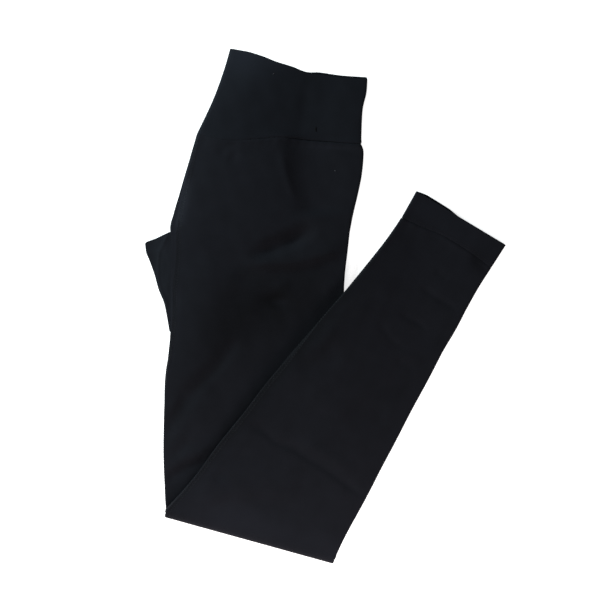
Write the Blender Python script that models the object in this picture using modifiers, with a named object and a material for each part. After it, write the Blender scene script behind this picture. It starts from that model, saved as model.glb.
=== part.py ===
"""Leggings of stretch knit, folded in half down the centre front, then once more at the knee, lying flat.

The garment lies on z = 0 with the waist towards +Y. The fold down the centre front puts the left leg on
top of the right one, so a section through the thigh stacks four layers of cloth: the right leg's outer
half on the floor, the hidden inner halves of both legs, and the left leg's outer half on top. The knee
fold turns that whole stack over: on the lower leg the right leg's outer half is on top.

Lengths in this file are millimetres, and mesh() turns them into metres.
"""

import math
from collections import namedtuple

import bmesh
import bpy

METRES_PER_MM = 0.001

# Cloth and stack
CLOTH = 1.0                # wall of one leg panel
DOUBLED_CLOTH = 1.4        # waistband, two layers of knit sewn back to back
HEM_CLOTH = 1.5            # turned ankle hem
GUSSET_CLOTH = 1.6         # gusset, folded in half
FRONT_SEAM_GAP = 0.75      # between the two fronts at the centre front
HIDDEN_GAP = 0.6           # between a leg's outer half and the hidden layers
LEG_PLY = 4.0              # one leg pressed flat, two layers and the air between them
PLY_GAP = 0.4              # between the two flattened legs
STACK = 2 * LEG_PLY + PLY_GAP
GUSSET_GAP = 2.45          # the two legs part this far round the gusset

# Knee fold
KNEE_LOOP = 1.0            # inner radius of the fold
KNEE_AXIS_Z = STACK + KNEE_LOOP
KNEE_STEPS = 6
REST_GAP = 0.8             # lower leg over thigh
KNEE_OPENING = 25.0        # how far from the knee fold the layers stay parted
DRAPE_START = 7.0          # past the thigh's side edge
DRAPE_END = 42.0

# Where creases fade out
KNEE_FADE_START = 4.0      # from the knee fold
KNEE_FADE_END = 30.0
COVER_START = -14.0        # from the lower leg's inseam edge, below 0 under the lower leg
COVER_END = 4.0

# Mesh density
STATION_STEP = 18.0
STEP_SLACK = 0.25          # a span this much over a whole number of steps keeps that number
BAND_STEP = 30.0
HEM_STEP = 16.0
LINES = 10                 # strips across a panel, between its rounded edges
EDGE_STEPS = 4             # segments round a folded edge
RIM_POINTS = 3             # of a closed end's ring, on each side of the middle of its rim
SHARP_ANGLE = 50.0

# One row per cross-section, where the flattened leg's left and right edges lie on the floor plan.
# closed is 1 where the two fronts meet at the centre front seam, and 0 where the legs are separate.
# parted is 1 where the two legs open round the gusset, and dip is 1 along the waistband seam.
Section = namedtuple("Section", "left_x left_y right_x right_y closed parted dip")

WAIST = (
    #        left edge     right edge    closed parted dip
    Section(-98.9, 269.0, 45.2, 238.8, 1.0, 0.0, 0.0),
    Section(-106.0, 245.0, 43.9, 222.0, 1.0, 0.0, 0.0),
    Section(-117.0, 215.0, 39.8, 203.0, 1.0, 0.0, 0.3),
    Section(-133.0, 182.4, 38.2, 171.5, 1.0, 0.0, 1.0),
    Section(-133.5, 179.4, 38.0, 168.5, 1.0, 0.0, 1.0),
)

THIGH = (
    Section(-134.6, 178.8, 39.1, 167.9, 1.0, 0.0, 1.0),
    Section(-137.7, 165.9, 41.0, 158.6, 1.0, 0.0, 0.6),
    Section(-146.9, 135.5, 38.4, 133.4, 1.0, 0.0, 0.0),
    Section(-157.0, 98.7, 30.5, 98.7, 1.0, 0.0, 0.0),
    Section(-161.3, 82.5, 27.6, 81.5, 0.0, 1.0, 0.0),
    Section(-160.3, 57.8, 24.2, 55.7, 0.0, 1.0, 0.0),
    Section(-161.5, 15.8, 20.0, 12.6, 0.0, 1.0, 0.0),
    Section(-161.8, -33.0, 17.9, -40.4, 0.0, 1.0, 0.0),
    Section(-166.2, -73.5, 16.9, -87.2, 0.0, 0.0, 0.0),
    Section(-168.6, -115.5, 15.3, -139.7, 0.0, 0.0, 0.0),
    Section(-168.6, -162.8, 13.2, -199.5, 0.0, 0.0, 0.0),
    Section(-165.2, -212.8, 12.0, -261.8, 0.0, 0.0, 0.0),
)

SHIN = (
    Section(-165.2, -212.8, 12.0, -261.8, 0.0, 0.0, 0.0),
    Section(-132.8, -174.8, 29.5, -227.2, 0.0, 0.0, 0.0),
    Section(-101.9, -134.4, 50.0, -189.2, 0.0, 0.0, 0.0),
    Section(-70.9, -94.5, 70.4, -150.4, 0.0, 0.0, 0.0),
    Section(-39.4, -56.2, 91.0, -111.5, 0.0, 0.0, 0.0),
    Section(-6.8, -18.4, 112.0, -72.5, 0.0, 0.0, 0.0),
    Section(25.7, 19.4, 133.0, -32.6, 0.0, 0.0, 0.0),
    Section(56.0, 57.4, 153.6, 5.3, 0.0, 0.0, 0.0),
    Section(82.6, 94.8, 174.0, 38.0, 0.0, 0.0, 0.0),
)

ANKLE_HEM = (
    Section(82.8, 95.1, 174.2, 38.3, 0.0, 0.0, 0.0),
    Section(96.1, 119.2, 189.8, 62.8, 0.0, 0.0, 0.0),
)

# The waistband seam, measured down from the straight line between its two ends.
SEAM_DIP = ((0.0, 0.0), (0.2, 4.5), (0.35, 2.0), (0.52, -2.0), (0.75, -0.5), (1.0, 0.0))

# Soft troughs (depth below 0) and ridges (above 0) of the top layer, from one end to the other.
Crease = namedtuple("Crease", "x0 y0 x1 y1 width depth")

THIGH_CREASES = (
    #       start            end              width  depth
    Crease(-13.0, 246.0, -24.0, 182.0, 8.0, -1.1),
    Crease(-24.0, 164.0, -28.0, 104.0, 9.0, -1.9),
    Crease(-28.0, 104.0, -42.0, 70.0, 9.0, -1.6),
    Crease(-42.0, 70.0, -80.0, 56.0, 9.0, -1.9),
    Crease(-74.0, 41.0, -26.0, 39.0, 8.0, 1.0),
    Crease(-74.0, 8.0, -44.0, -6.0, 22.0, -2.2),
    Crease(-148.0, 136.0, -152.0, 74.0, 8.0, 0.9),
    Crease(-99.0, -37.0, -160.0, -120.0, 9.0, -1.6),
    Crease(-110.0, -22.0, -150.0, -62.0, 10.0, 0.8),
    Crease(-146.0, -152.0, -164.0, -180.0, 7.0, -1.2),
)

SHIN_CREASES = (
    Crease(-78.0, -125.0, -34.0, -148.0, 8.0, -1.1),
    Crease(-34.0, -148.0, 37.0, -194.0, 8.0, -1.3),
    Crease(-60.0, -150.0, 10.0, -205.0, 14.0, 0.8),
    Crease(-16.0, -58.0, 14.0, -34.0, 14.0, -1.2),
    Crease(38.0, -62.0, 84.0, -110.0, 16.0, -1.0),
    Crease(80.0, -10.0, 106.0, -26.0, 8.0, -0.9),
    Crease(62.0, -24.0, 92.0, -54.0, 8.0, -1.0),
)

# The waistband's top edge, measured down from the straight line between its two corners, and how far
# the backs stand above the fronts there.
TopEdge = namedtuple("TopEdge", "across front_drop back_rise")

TOP_EDGE = (
    TopEdge(0.00, 0.0, 0.0),
    TopEdge(0.12, -1.4, 0.0),
    TopEdge(0.24, 0.6, -1.0),
    TopEdge(0.34, 4.0, -1.0),
    TopEdge(0.48, 6.2, 0.0),
    TopEdge(0.58, 9.5, 2.0),
    TopEdge(0.66, 8.2, 3.2),
    TopEdge(0.80, 6.8, 3.0),
    TopEdge(1.00, 2.6, 2.6),
)

# The gusset from the top of the crotch down the inseam, and how far it reaches past the leg's edge.
GussetRow = namedtuple("GussetRow", "y reach")

GUSSET = (
    GussetRow(76.5, 1.5),
    GussetRow(70.5, 14.5),
    GussetRow(64.5, 27.8),
    GussetRow(57.0, 27.2),
    GussetRow(45.0, 22.5),
    GussetRow(31.0, 17.0),
    GussetRow(16.0, 12.4),
    GussetRow(2.0, 6.6),
    GussetRow(-14.0, 3.2),
    GussetRow(-28.0, 0.8),
)
GUSSET_TUCK = 2.2          # how far it runs in between the legs
GUSSET_DROP = 3.1          # from its root down to its tip
GUSSET_DROP_START = 1.5
GUSSET_DROP_END = 24.0
GUSSET_STEPS = 5

# Rims of the hidden layers
RIM_INSET = 1.2            # the rim stands this far inside the outer halves' flats
RIM_GROOVE = 0.7           # depth of the groove between the two legs' layers
RIM_BULGE = 0.9            # height of each lip over the groove
RIM_ROUND = 0.2

# How far the left hem shows past the right one, which lies on it.
HEM_PEEK = ((0.0, 0.3), (0.12, 2.4), (0.35, 2.0), (0.5, 0.0), (1.0, 0.0))

BLACK_KNIT = (0.010, 0.0105, 0.013, 1.0)
BLACK_BAND = (0.009, 0.0095, 0.012, 1.0)


def smoothstep(start, end, value):
    """0 before start, 1 after end, and a smooth ramp between them."""
    share = min(1.0, max(0.0, (value - start) / (end - start)))
    return share * share * (3.0 - 2.0 * share)


def mix(first, second, share):
    """The value that lies share of the way from first to second."""
    return first + (second - first) * share


def along(pairs, value):
    """Straight-line reading of a table of (position, result) pairs, whose positions rise."""
    if value <= pairs[0][0]:
        return pairs[0][1]
    for (start, low), (end, high) in zip(pairs, pairs[1:]):
        if value <= end:
            return mix(low, high, (value - start) / (end - start))
    return pairs[-1][1]


THIGH_SIDE = sorted((row.right_y, row.right_x) for row in THIGH)
SHIN_INSEAM = sorted((row.left_x, row.left_y) for row in SHIN)
SHIN_BEARING = math.atan2(SHIN[-1].left_y - SHIN[0].left_y, SHIN[-1].left_x - SHIN[0].left_x)
KNEE_LENGTH = math.hypot(
    THIGH[-1].right_x - THIGH[-1].left_x, THIGH[-1].right_y - THIGH[-1].left_y
)
KNEE_OUTWARD = (
    (THIGH[-1].right_y - THIGH[-1].left_y) / KNEE_LENGTH,
    (THIGH[-1].left_x - THIGH[-1].right_x) / KNEE_LENGTH,
)


def from_knee(x, y):
    """Distance from the knee fold."""
    away = (x - THIGH[-1].left_x) * KNEE_OUTWARD[0] + (y - THIGH[-1].left_y) * KNEE_OUTWARD[1]
    return abs(away)


def knee_fade(x, y):
    """0 at the knee fold, and 1 where the creases have their full depth."""
    return smoothstep(KNEE_FADE_START, KNEE_FADE_END, from_knee(x, y))


def relief(creases, x, y):
    """The deepest trough plus the highest ridge at a place on the floor plan."""
    trough = 0.0
    ridge = 0.0
    for crease in creases:
        run_x = crease.x1 - crease.x0
        run_y = crease.y1 - crease.y0
        length = math.hypot(run_x, run_y)
        share = ((x - crease.x0) * run_x + (y - crease.y0) * run_y) / length**2
        near = min(1.0, max(0.0, share))
        off = math.hypot(x - crease.x0 - near * run_x, y - crease.y0 - near * run_y)
        depth = crease.depth * math.exp(-((off / crease.width) ** 2))
        trough = min(trough, depth)
        ridge = max(ridge, depth)
    return trough + ridge


def thigh_relief(x, y):
    """Creases of the thigh, fading out under the lower leg and towards the knee fold."""
    above_shin = (y - along(SHIN_INSEAM, x)) * math.cos(SHIN_BEARING)
    shown = smoothstep(COVER_START, COVER_END, above_shin)
    return relief(THIGH_CREASES, x, y) * shown * knee_fade(x, y)


def shin_relief(x, y):
    """Creases of the lower leg, fading out towards the knee fold."""
    return relief(SHIN_CREASES, x, y) * knee_fade(x, y)


def shin_base(x, y):
    """Height of the lower leg's underside: on the thigh, then draped down to the floor beside it."""
    past_thigh = x - along(THIGH_SIDE, y)
    opening = (2.0 * KNEE_LOOP - REST_GAP) * math.exp(-((from_knee(x, y) / KNEE_OPENING) ** 2))
    on_thigh = STACK + REST_GAP + opening + max(0.0, thigh_relief(x, y))
    return on_thigh * (1.0 - smoothstep(DRAPE_START, DRAPE_END, past_thigh))


class Station:
    """A cross-section of the flattened stack, with the places of its layers.

    A place in it is (t, share, rise): t is the distance from the left edge, and the depth in the stack
    is share of its height plus rise. Depth 0 is the right leg's outer face.
    """

    def __init__(self, row, kind, turn=0.0):
        self.row = row
        self.kind = kind
        self.turn = turn
        self.width = math.hypot(row.right_x - row.left_x, row.right_y - row.left_y)
        self.heights = []
        self.bases = []
        for line in range(LINES + 1):
            x, y = self.plan(self.line(line))
            if kind == "thigh":
                self.heights.append(STACK + thigh_relief(x, y))
                self.bases.append(0.0)
            elif kind == "shin":
                self.heights.append(STACK + shin_relief(x, y))
                self.bases.append(shin_base(x, y))
            else:
                self.heights.append(STACK)
                self.bases.append(0.0)

    def plan(self, t, onward=0.0):
        """Floor plan place at t, moved onward along the leg, towards the ankle."""
        share = t / self.width
        onward += self.row.dip * along(SEAM_DIP, share)
        forward = -onward if self.kind == "shin" else onward
        across_x = (self.row.right_x - self.row.left_x) / self.width
        across_y = (self.row.right_y - self.row.left_y) / self.width
        return (
            self.row.left_x + across_x * t + across_y * forward,
            self.row.left_y + across_y * t - across_x * forward,
        )

    def line(self, index):
        """t of one of the lines along the leg that every layer shares."""
        left_margin = mix(LEG_PLY, STACK, self.row.closed) / 2.0
        return mix(left_margin, self.width - LEG_PLY / 2.0, index / LINES)

    def at(self, values, t):
        """Straight-line reading, at t, of values given on the shared lines."""
        first = self.line(0)
        place = (t - first) / (self.line(LINES) - first) * LINES
        place = min(float(LINES), max(0.0, place))
        index = min(LINES - 1, int(place))
        return mix(values[index], values[index + 1], place - index)

    def point(self, t, share, rise, onward=0.0):
        """The place (t, share, rise) in space, moved onward along the leg, towards the ankle."""
        x, y = self.plan(t, onward)
        height = self.at(self.heights, t)
        depth = share * height + rise
        if self.kind == "thigh":
            return x, y, depth
        if self.kind == "shin":
            return x, y, self.at(self.bases, t) + height - depth
        radius = KNEE_AXIS_Z - depth
        out = radius * math.cos(self.turn)
        x += KNEE_OUTWARD[0] * out
        y += KNEE_OUTWARD[1] * out
        return x, y, KNEE_AXIS_Z + radius * math.sin(self.turn)


def between(rows, kind, step=STATION_STEP):
    """Stations on a smooth curve through the rows, no more than a step apart."""
    stations = []
    for index in range(len(rows) - 1):
        before = rows[max(0, index - 1)]
        start = rows[index]
        end = rows[index + 1]
        after = rows[min(len(rows) - 1, index + 2)]
        length = 0.5 * (
            math.hypot(end.left_x - start.left_x, end.left_y - start.left_y)
            + math.hypot(end.right_x - start.right_x, end.right_y - start.right_y)
        )
        count = max(1, math.ceil(length / step - STEP_SLACK))
        for part in range(count):
            u = part / count
            values = []
            for a, b, c, d in zip(before, start, end, after):
                curve = b + 0.5 * u * (c - a + u * (2 * a - 5 * b + 4 * c - d + u * (3 * (b - c) + d - a)))
                values.append(curve)
            row = Section(*values)._replace(
                closed=mix(start.closed, end.closed, u),
                parted=mix(start.parted, end.parted, u),
                dip=mix(start.dip, end.dip, u),
            )
            stations.append(Station(row, kind))
    stations.append(Station(rows[-1], kind))
    return stations


def leg_stations():
    """The whole leg: down the thigh, round the knee fold and up the lower leg."""
    knee = []
    for step in range(1, KNEE_STEPS):
        turn = math.pi * (step / KNEE_STEPS - 0.5)
        knee.append(Station(THIGH[-1], "knee", turn))
    return between(THIGH, "thigh") + knee + between(SHIN, "shin")


def edge_arc(station):
    """Rounded left edge of the right leg's outer half, from its inner end to its flat.

    It is a half round where the legs are separate, and a quarter round where the fronts are closed.
    The left leg's edge is this one upside down.
    """
    row = station.row
    ply = 0.5 - mix(PLY_GAP, GUSSET_GAP, row.parted) / 2.0 / STACK
    radius = ply * STACK / 2.0
    front = STACK / 2.0
    front_share = 0.5 - FRONT_SEAM_GAP / 2.0 / STACK
    places = []
    for step in range(EDGE_STEPS + 1):
        half_turned = math.pi * step / EDGE_STEPS
        turned = half_turned / 2.0
        leg_t = radius * (1.0 - math.sin(half_turned))
        leg_share = ply * (1.0 + math.cos(half_turned)) / 2.0
        t = mix(leg_t, front * (1.0 - math.cos(turned)), row.closed)
        places.append((t, mix(leg_share, front_share * (1.0 - math.sin(turned)), row.closed)))
    return places


def side_arc(station):
    """Rounded right edge of the right leg's outer half, from its flat to its inner end."""
    ply = 0.5 - PLY_GAP / 2.0 / STACK
    radius = ply * STACK / 2.0
    places = []
    for step in range(EDGE_STEPS + 1):
        turn = math.pi * step / EDGE_STEPS
        t = station.width - radius + radius * math.sin(turn)
        places.append((t, ply * (1.0 - math.cos(turn)) / 2.0))
    return places


def outer_half(station, on_top):
    """Points of a leg panel's outer face across a station: the left edge, the flat, the side edge."""
    places = edge_arc(station)[:-1]
    places += [(station.line(line), 0.0) for line in range(LINES + 1)]
    places += side_arc(station)[1:]
    if on_top:
        return [station.point(t, 1.0 - share, 0.0) for t, share in places]
    return [station.point(t, share, 0.0) for t, share in places]


def hidden_layers(station):
    """Closed outline of the hidden layers across a station, with a groove between them at each rim."""
    clear = CLOTH + HIDDEN_GAP
    closed = station.row.closed
    start = mix(LEG_PLY / 2.0 + RIM_INSET, clear, closed)
    end = station.width - LEG_PLY / 2.0 - RIM_INSET
    lower = [
        (start + RIM_GROOVE, 0.5, 0.0),
        (mix(start, clear + RIM_ROUND, closed), 0.5, -RIM_BULGE),
        (mix(start + RIM_ROUND, clear + RIM_BULGE, closed), 0.0, clear + RIM_GROOVE),
        (mix(start + RIM_INSET, STACK / 2.0, closed), 0.0, clear),
    ]
    lower += [(station.line(line), 0.0, clear) for line in range(1, LINES)]
    lower += [
        (end - RIM_INSET, 0.0, clear),
        (end - RIM_ROUND, 0.0, clear + RIM_GROOVE),
        (end, 0.5, -RIM_BULGE),
        (end - RIM_GROOVE, 0.5, 0.0),
    ]
    upper = [(t, 1.0 - share, -rise) for t, share, rise in reversed(lower[1:-1])]
    return [station.point(*place) for place in lower + upper]


def close_end(shape, ring, reverse):
    """Closes the end of a solid whose ring starts at one rim and runs round two like halves.

    Each rim is one face, because it may have a groove, and strips join the two halves between them.
    """
    last = (len(ring) - 1) // 2 - RIM_POINTS + 1
    faces = [[ring[index] for index in range(RIM_POINTS, -RIM_POINTS - 1, -1)]]
    for step in range(RIM_POINTS, last):
        faces.append([ring[-step], ring[-step - 1], ring[step + 1], ring[step]])
    faces.append(ring[last:len(ring) - last + 1][::-1])
    for face in faces:
        shape.faces.new(face[::-1] if reverse else face)


def mesh(name, rows, colour, looped=False, solid=False):
    """One object from rows of points, joined along the leg by triangles with like diagonals.

    looped joins each row's ends, and solid closes the first and the last row.
    """
    shape = bmesh.new()
    rings = []
    for row in rows:
        rings.append([shape.verts.new([value * METRES_PER_MM for value in point]) for point in row])
    count = len(rings[0])
    spans = count if looped else count - 1
    for ring, following in zip(rings, rings[1:]):
        for index in range(spans):
            beside = (index + 1) % count
            shape.faces.new((ring[index], ring[beside], following[beside]))
            shape.faces.new((ring[index], following[beside], following[index]))
    if solid:
        close_end(shape, rings[0], False)
        close_end(shape, rings[-1], True)
    data = bpy.data.meshes.new(name)
    shape.to_mesh(data)
    shape.free()
    data.shade_smooth()
    data.set_sharp_from_angle(angle=math.radians(SHARP_ANGLE))
    thing = bpy.data.objects.new(name, data)
    data.materials.append(knit(name, colour))
    PARTS.objects.link(thing)
    return thing


def knit(name, colour):
    """Matt black knit."""
    material = bpy.data.materials.new(name)
    material.use_nodes = True
    shader = material.node_tree.nodes["Principled BSDF"]
    shader.inputs["Base Color"].default_value = colour
    shader.inputs["Roughness"].default_value = 0.85
    shader.inputs["Metallic"].default_value = 0.0
    return material


def thicken(thing, cloth):
    """Gives an open surface its cloth, on the side away from its normals."""
    solidify = thing.modifiers.new("cloth", "SOLIDIFY")
    solidify.thickness = cloth * METRES_PER_MM
    solidify.offset = -1.0
    solidify.use_even_offset = True
    solidify.use_quality_normals = True


def half_turn(station, start, end, at_side):
    """Places (t, share, rise) round a folded edge, between two depths that are each (share, rise)."""
    span = (end[0] - start[0]) * STACK + end[1] - start[1]
    radius = abs(span) / 2.0
    places = []
    for step in range(1, EDGE_STEPS):
        turn = math.pi * step / EDGE_STEPS
        turned = (1.0 - math.cos(turn)) / 2.0
        t = radius - radius * math.sin(turn)
        if at_side:
            t = station.width - t
        places.append((t, mix(start[0], end[0], turned), mix(start[1], end[1], turned)))
    return places


def hem_loop(station, first, last, reach):
    """Closed loop of one leg's hem across a station, between two depths of the stack.

    reach is the share of HEM_PEEK by which it is moved past the station.
    """
    lines = [station.line(index) for index in range(LINES + 1)]
    places = [(t, *first) for t in lines]
    places += half_turn(station, first, last, True)
    places += [(t, *last) for t in reversed(lines)]
    places += half_turn(station, last, first, False)
    return [station.point(*place, reach * along(HEM_PEEK, place[0] / station.width)) for place in places]


def waistband_loop(station, at_top):
    """Closed loop of the waistband's outer face across a station.

    It runs along the right front, back along the right back, round the centre back fold, and out
    and back again along the left back and the left front.
    """
    lines = [station.line(index) for index in range(LINES + 1)]
    between_backs = (STACK - 4.0 * DOUBLED_CLOTH) / 6.0
    right_front, left_front = (0.0, 0.0), (1.0, 0.0)
    right_back, left_back = (0.5, -between_backs), (0.5, between_backs)
    fronts = [(row.across, row.front_drop) for row in TOP_EDGE]
    backs = [(row.across, row.front_drop - row.back_rise) for row in TOP_EDGE]
    places = [(t, *right_front) for t in lines]
    places += half_turn(station, right_front, right_back, True)
    places += [(t, *right_back) for t in reversed(lines)]
    places.append((lines[0] - between_backs, 0.5, 0.0))
    places += [(t, *left_back) for t in lines]
    places += half_turn(station, left_back, left_front, True)
    places += [(t, *left_front) for t in reversed(lines)]
    places += half_turn(station, left_front, right_front, False)
    if not at_top:
        return [station.point(*place) for place in places]
    points = []
    for t, share, rise in places:
        across = t / station.width
        backness = 1.0 - min(1.0, abs(share + rise / STACK - 0.5) / (0.5 - between_backs / STACK))
        onward = mix(along(fronts, across), along(backs, across), backness)
        points.append(station.point(t, share, rise, onward))
    return points


def gusset_outline(row):
    """Closed outline across the folded gusset, from its tip in to its root between the legs and back."""
    edge = along(sorted((section.left_y, section.left_x) for section in THIGH), row.y)
    half = GUSSET_CLOTH / 2.0
    tip = half - row.reach
    lower = []
    for step in range(EDGE_STEPS // 2):
        turn = math.pi * (0.5 - step / EDGE_STEPS)
        lower.append((tip - half * math.sin(turn), -half * math.cos(turn)))
    for step in range(GUSSET_STEPS + 1):
        lower.append((mix(tip, GUSSET_TUCK, step / GUSSET_STEPS), -half))
    upper = [(t, -rise) for t, rise in reversed(lower[1:])]
    points = []
    for t, rise in lower + upper:
        middle = STACK / 2.0 - GUSSET_DROP * smoothstep(GUSSET_DROP_START, GUSSET_DROP_END, -t)
        points.append((edge + t, row.y, middle + rise))
    return points


def legs():
    """Both leg panels' outer halves and the hidden layers between them."""
    leg = leg_stations()
    thicken(mesh("right_leg", [outer_half(station, False) for station in leg], BLACK_KNIT), CLOTH)
    thicken(mesh("left_leg", [outer_half(station, True)[::-1] for station in leg], BLACK_KNIT), CLOTH)
    mesh("inner_layers", [hidden_layers(station) for station in leg], BLACK_KNIT, looped=True, solid=True)


def waistband():
    """The wide waistband, one flattened ring."""
    stations = between(WAIST, "thigh", BAND_STEP)
    rows = [waistband_loop(station, station is stations[0]) for station in stations]
    thicken(mesh("waistband", rows, BLACK_BAND, looped=True), DOUBLED_CLOTH)


def ankle_hems():
    """The two turned hems, one on the other, each a flattened open ring."""
    stations = between(ANKLE_HEM, "shin", HEM_STEP)
    ply = LEG_PLY / STACK
    for name, first, last, peek in (
        ("right_ankle_hem", (0.0, 0.0), (ply, 0.0), 0.0),
        ("left_ankle_hem", (1.0 - ply, 0.0), (1.0, 0.0), 1.0),
    ):
        rows = []
        for station in stations:
            reach = peek if station is stations[-1] else 0.0
            rows.append(hem_loop(station, first, last, reach))
        thicken(mesh(name, rows, BLACK_KNIT, looped=True), HEM_CLOTH)


def crotch_gusset():
    """The folded gusset, which sticks out between the legs at the crotch."""
    mesh("crotch_gusset", [gusset_outline(row) for row in GUSSET], BLACK_KNIT, looped=True, solid=True)


def main():
    """Builds the pieces."""
    legs()
    waistband()
    ankle_hems()
    crotch_gusset()


for old in list(bpy.data.objects):
    bpy.data.objects.remove(old, do_unlink=True)
PARTS = bpy.data.collections.new("leggings")
bpy.context.scene.collection.children.link(PARTS)
main()
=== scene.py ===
"""Looks of the folded leggings: knit panels, waistband, gusset, ankle hems, seams and stitching.

The leggings lie on the floor, folded in half down the centre front and then once at the knee. The tables are
in millimetres on the floor plan: +Y towards the waist, +X towards the ankles. Meshes are in metres.
"""

import logging
import math
from collections.abc import Iterable
from dataclasses import dataclass, replace
from enum import Enum
from typing import ClassVar, NamedTuple, Union

import bpy
import numpy as np
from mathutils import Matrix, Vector

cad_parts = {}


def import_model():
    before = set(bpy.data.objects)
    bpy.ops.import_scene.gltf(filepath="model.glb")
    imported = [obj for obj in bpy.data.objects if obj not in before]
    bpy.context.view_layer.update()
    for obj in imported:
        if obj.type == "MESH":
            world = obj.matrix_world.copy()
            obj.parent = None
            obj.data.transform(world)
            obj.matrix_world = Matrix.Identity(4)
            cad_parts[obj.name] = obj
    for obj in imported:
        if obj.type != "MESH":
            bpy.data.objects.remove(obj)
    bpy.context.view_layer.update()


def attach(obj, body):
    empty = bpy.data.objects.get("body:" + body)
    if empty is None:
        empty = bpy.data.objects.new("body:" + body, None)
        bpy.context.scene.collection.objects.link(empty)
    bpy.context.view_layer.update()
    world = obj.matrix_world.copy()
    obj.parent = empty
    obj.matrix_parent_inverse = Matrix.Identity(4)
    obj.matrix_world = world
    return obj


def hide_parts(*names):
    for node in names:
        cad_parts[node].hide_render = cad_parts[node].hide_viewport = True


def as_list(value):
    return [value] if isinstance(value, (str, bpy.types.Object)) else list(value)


LOG = logging.getLogger("leggings")
MM = 0.001
BODY = "root"
CUT_MAP = "cut"
TINY = 1e-9

Array = np.ndarray
Thing = bpy.types.Object
Pair = tuple[float, float]
Table = tuple[Pair, ...]
Colour = tuple[float, float, float]


class Section(NamedTuple):
    """Where a cross-section's two edges lie on the floor plan, and the state of the cloth there.

    closed is 1 where the fronts meet at the centre front and 0 where the legs are separate, parted is 1
    where the legs open round the gusset, and dip is 1 along the waistband seam and -1 along the hem seam.
    """

    left_x: float
    left_y: float
    right_x: float
    right_y: float
    closed: float = 0.0
    parted: float = 0.0
    dip: float = 0.0


# the parts of a section: where its edges lie, and the state of the cloth
EDGES = slice(0, 4)
STATE = slice(4, None)

WAIST_ROWS = (
    Section(-98.9, 269.0, 45.2, 238.8, 1.0),
    Section(-106.0, 245.0, 43.9, 222.0, 1.0),
    Section(-117.0, 215.0, 39.8, 203.0, 1.0, 0.0, 0.2),
    Section(-133.9, 179.1, 38.4, 168.2, 1.0, 0.0, 1.0),
)
THIGH_ROWS = (
    WAIST_ROWS[-1],
    Section(-137.7, 165.9, 41.0, 158.6, 1.0, 0.0, 0.6),
    Section(-146.9, 135.5, 38.4, 133.4, 1.0),
    Section(-157.0, 98.7, 30.5, 98.7, 1.0),
    Section(-161.3, 82.5, 27.6, 81.5, 0.0, 1.0),
    Section(-160.3, 57.8, 24.2, 55.7, 0.0, 1.0),
    Section(-161.5, 15.8, 20.0, 12.6, 0.0, 1.0),
    Section(-161.8, -33.0, 17.9, -40.4, 0.0, 1.0),
    Section(-166.2, -73.5, 16.9, -87.2),
    Section(-168.6, -115.5, 15.3, -139.7),
    Section(-168.6, -162.8, 13.2, -199.5),
    Section(-165.2, -212.8, 12.0, -261.8),
)
SHIN_ROWS = (
    THIGH_ROWS[-1],
    Section(-132.8, -174.8, 29.5, -227.2),
    Section(-101.9, -134.4, 50.0, -189.2),
    Section(-70.9, -94.5, 70.4, -150.4),
    Section(-39.4, -56.2, 91.0, -111.5),
    Section(-6.8, -18.4, 112.0, -72.5),
    Section(25.7, 19.4, 133.0, -32.6),
    Section(56.0, 57.4, 153.6, 5.3),
    Section(82.7, 94.9, 174.1, 38.2, 0.0, 0.0, -1.0),
)
HEM_ROWS = (
    SHIN_ROWS[-1],
    Section(96.1, 119.2, 189.8, 62.8),
)

# (share of the width, distance) tables
SEAM_DIP = ((0.0, 0.0), (0.2, 4.5), (0.35, 2.0), (0.52, -2.0), (0.75, -0.5), (1.0, 0.0))
FRONT_DROP = (
    (0.0, 0.0), (0.12, -0.3), (0.24, 1.3), (0.34, 4.0), (0.48, 6.2),
    (0.58, 9.5), (0.66, 8.2), (0.8, 6.8), (1.0, 2.6),
)
BACK_RISE = (
    (0.0, 0.0), (0.12, 0.0), (0.24, -1.0), (0.34, -1.0), (0.48, 0.0),
    (0.58, 2.0), (0.66, 3.2), (0.8, 3.0), (1.0, 2.6),
)
HEM_DIP = ((0.0, -4.0), (0.2, -1.5), (0.45, 3.0), (0.7, 3.2), (1.0, 0.5))
HEM_PEEK = ((0.0, 0.3), (0.12, 2.4), (0.35, 2.0), (0.5, 0.0), (1.0, 0.0))

# (share of the width, how strongly the waistband seam shows)
WAIST_SEAM = ((0.0, 0.1), (0.2, 0.2), (0.36, 0.55), (0.5, 0.45), (0.6, 1.0), (1.0, 1.0))

# (place on the floor plan's y axis, reach past the leg's edge)
GUSSET_REACH = (
    (-28.0, 0.8), (-14.0, 3.2), (2.0, 6.6), (16.0, 12.4), (31.0, 17.0),
    (45.0, 22.5), (57.0, 27.2), (64.5, 27.8), (70.5, 14.5), (76.5, 1.5),
)


def smoothstep(start: float, end: float, value: Array) -> Array:
    """0 before start, 1 after end, and a smooth ramp between them."""
    share = np.clip((np.asarray(value, float) - start) / (end - start), 0.0, 1.0)
    return share * share * (3.0 - 2.0 * share)


def bell(off: Array, width: float) -> Array:
    """1 at 0, falling off smoothly to either side over a few widths."""
    return np.exp(-((off / width) ** 2))


def mix(first: Array, second: Array, share: Array) -> Array:
    """The value that lies share of the way from first to second."""
    return first + (second - first) * share


def unit(vectors: Array) -> Array:
    """The vectors at length 1."""
    return vectors / np.maximum(np.linalg.norm(vectors, axis=-1, keepdims=True), TINY)


def evenly(start: float, end: float, step: float) -> Array:
    """Places from start to end, no more than a step apart."""
    return np.linspace(start, end, max(2, math.ceil(abs(end - start) / step) + 1))


def travel(points: Array, axis: int = 0) -> Array:
    """Distance of each point from the first one, along the line through them.

    Args:
        points: The points.
        axis: The array's axis along which the line runs.

    Returns:
        The distances.
    """
    steps = np.linalg.norm(np.diff(points, axis=axis), axis=-1)
    start = np.zeros_like(np.take(steps, [0], axis))
    return np.concatenate([start, np.cumsum(steps, axis)], axis)


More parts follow.
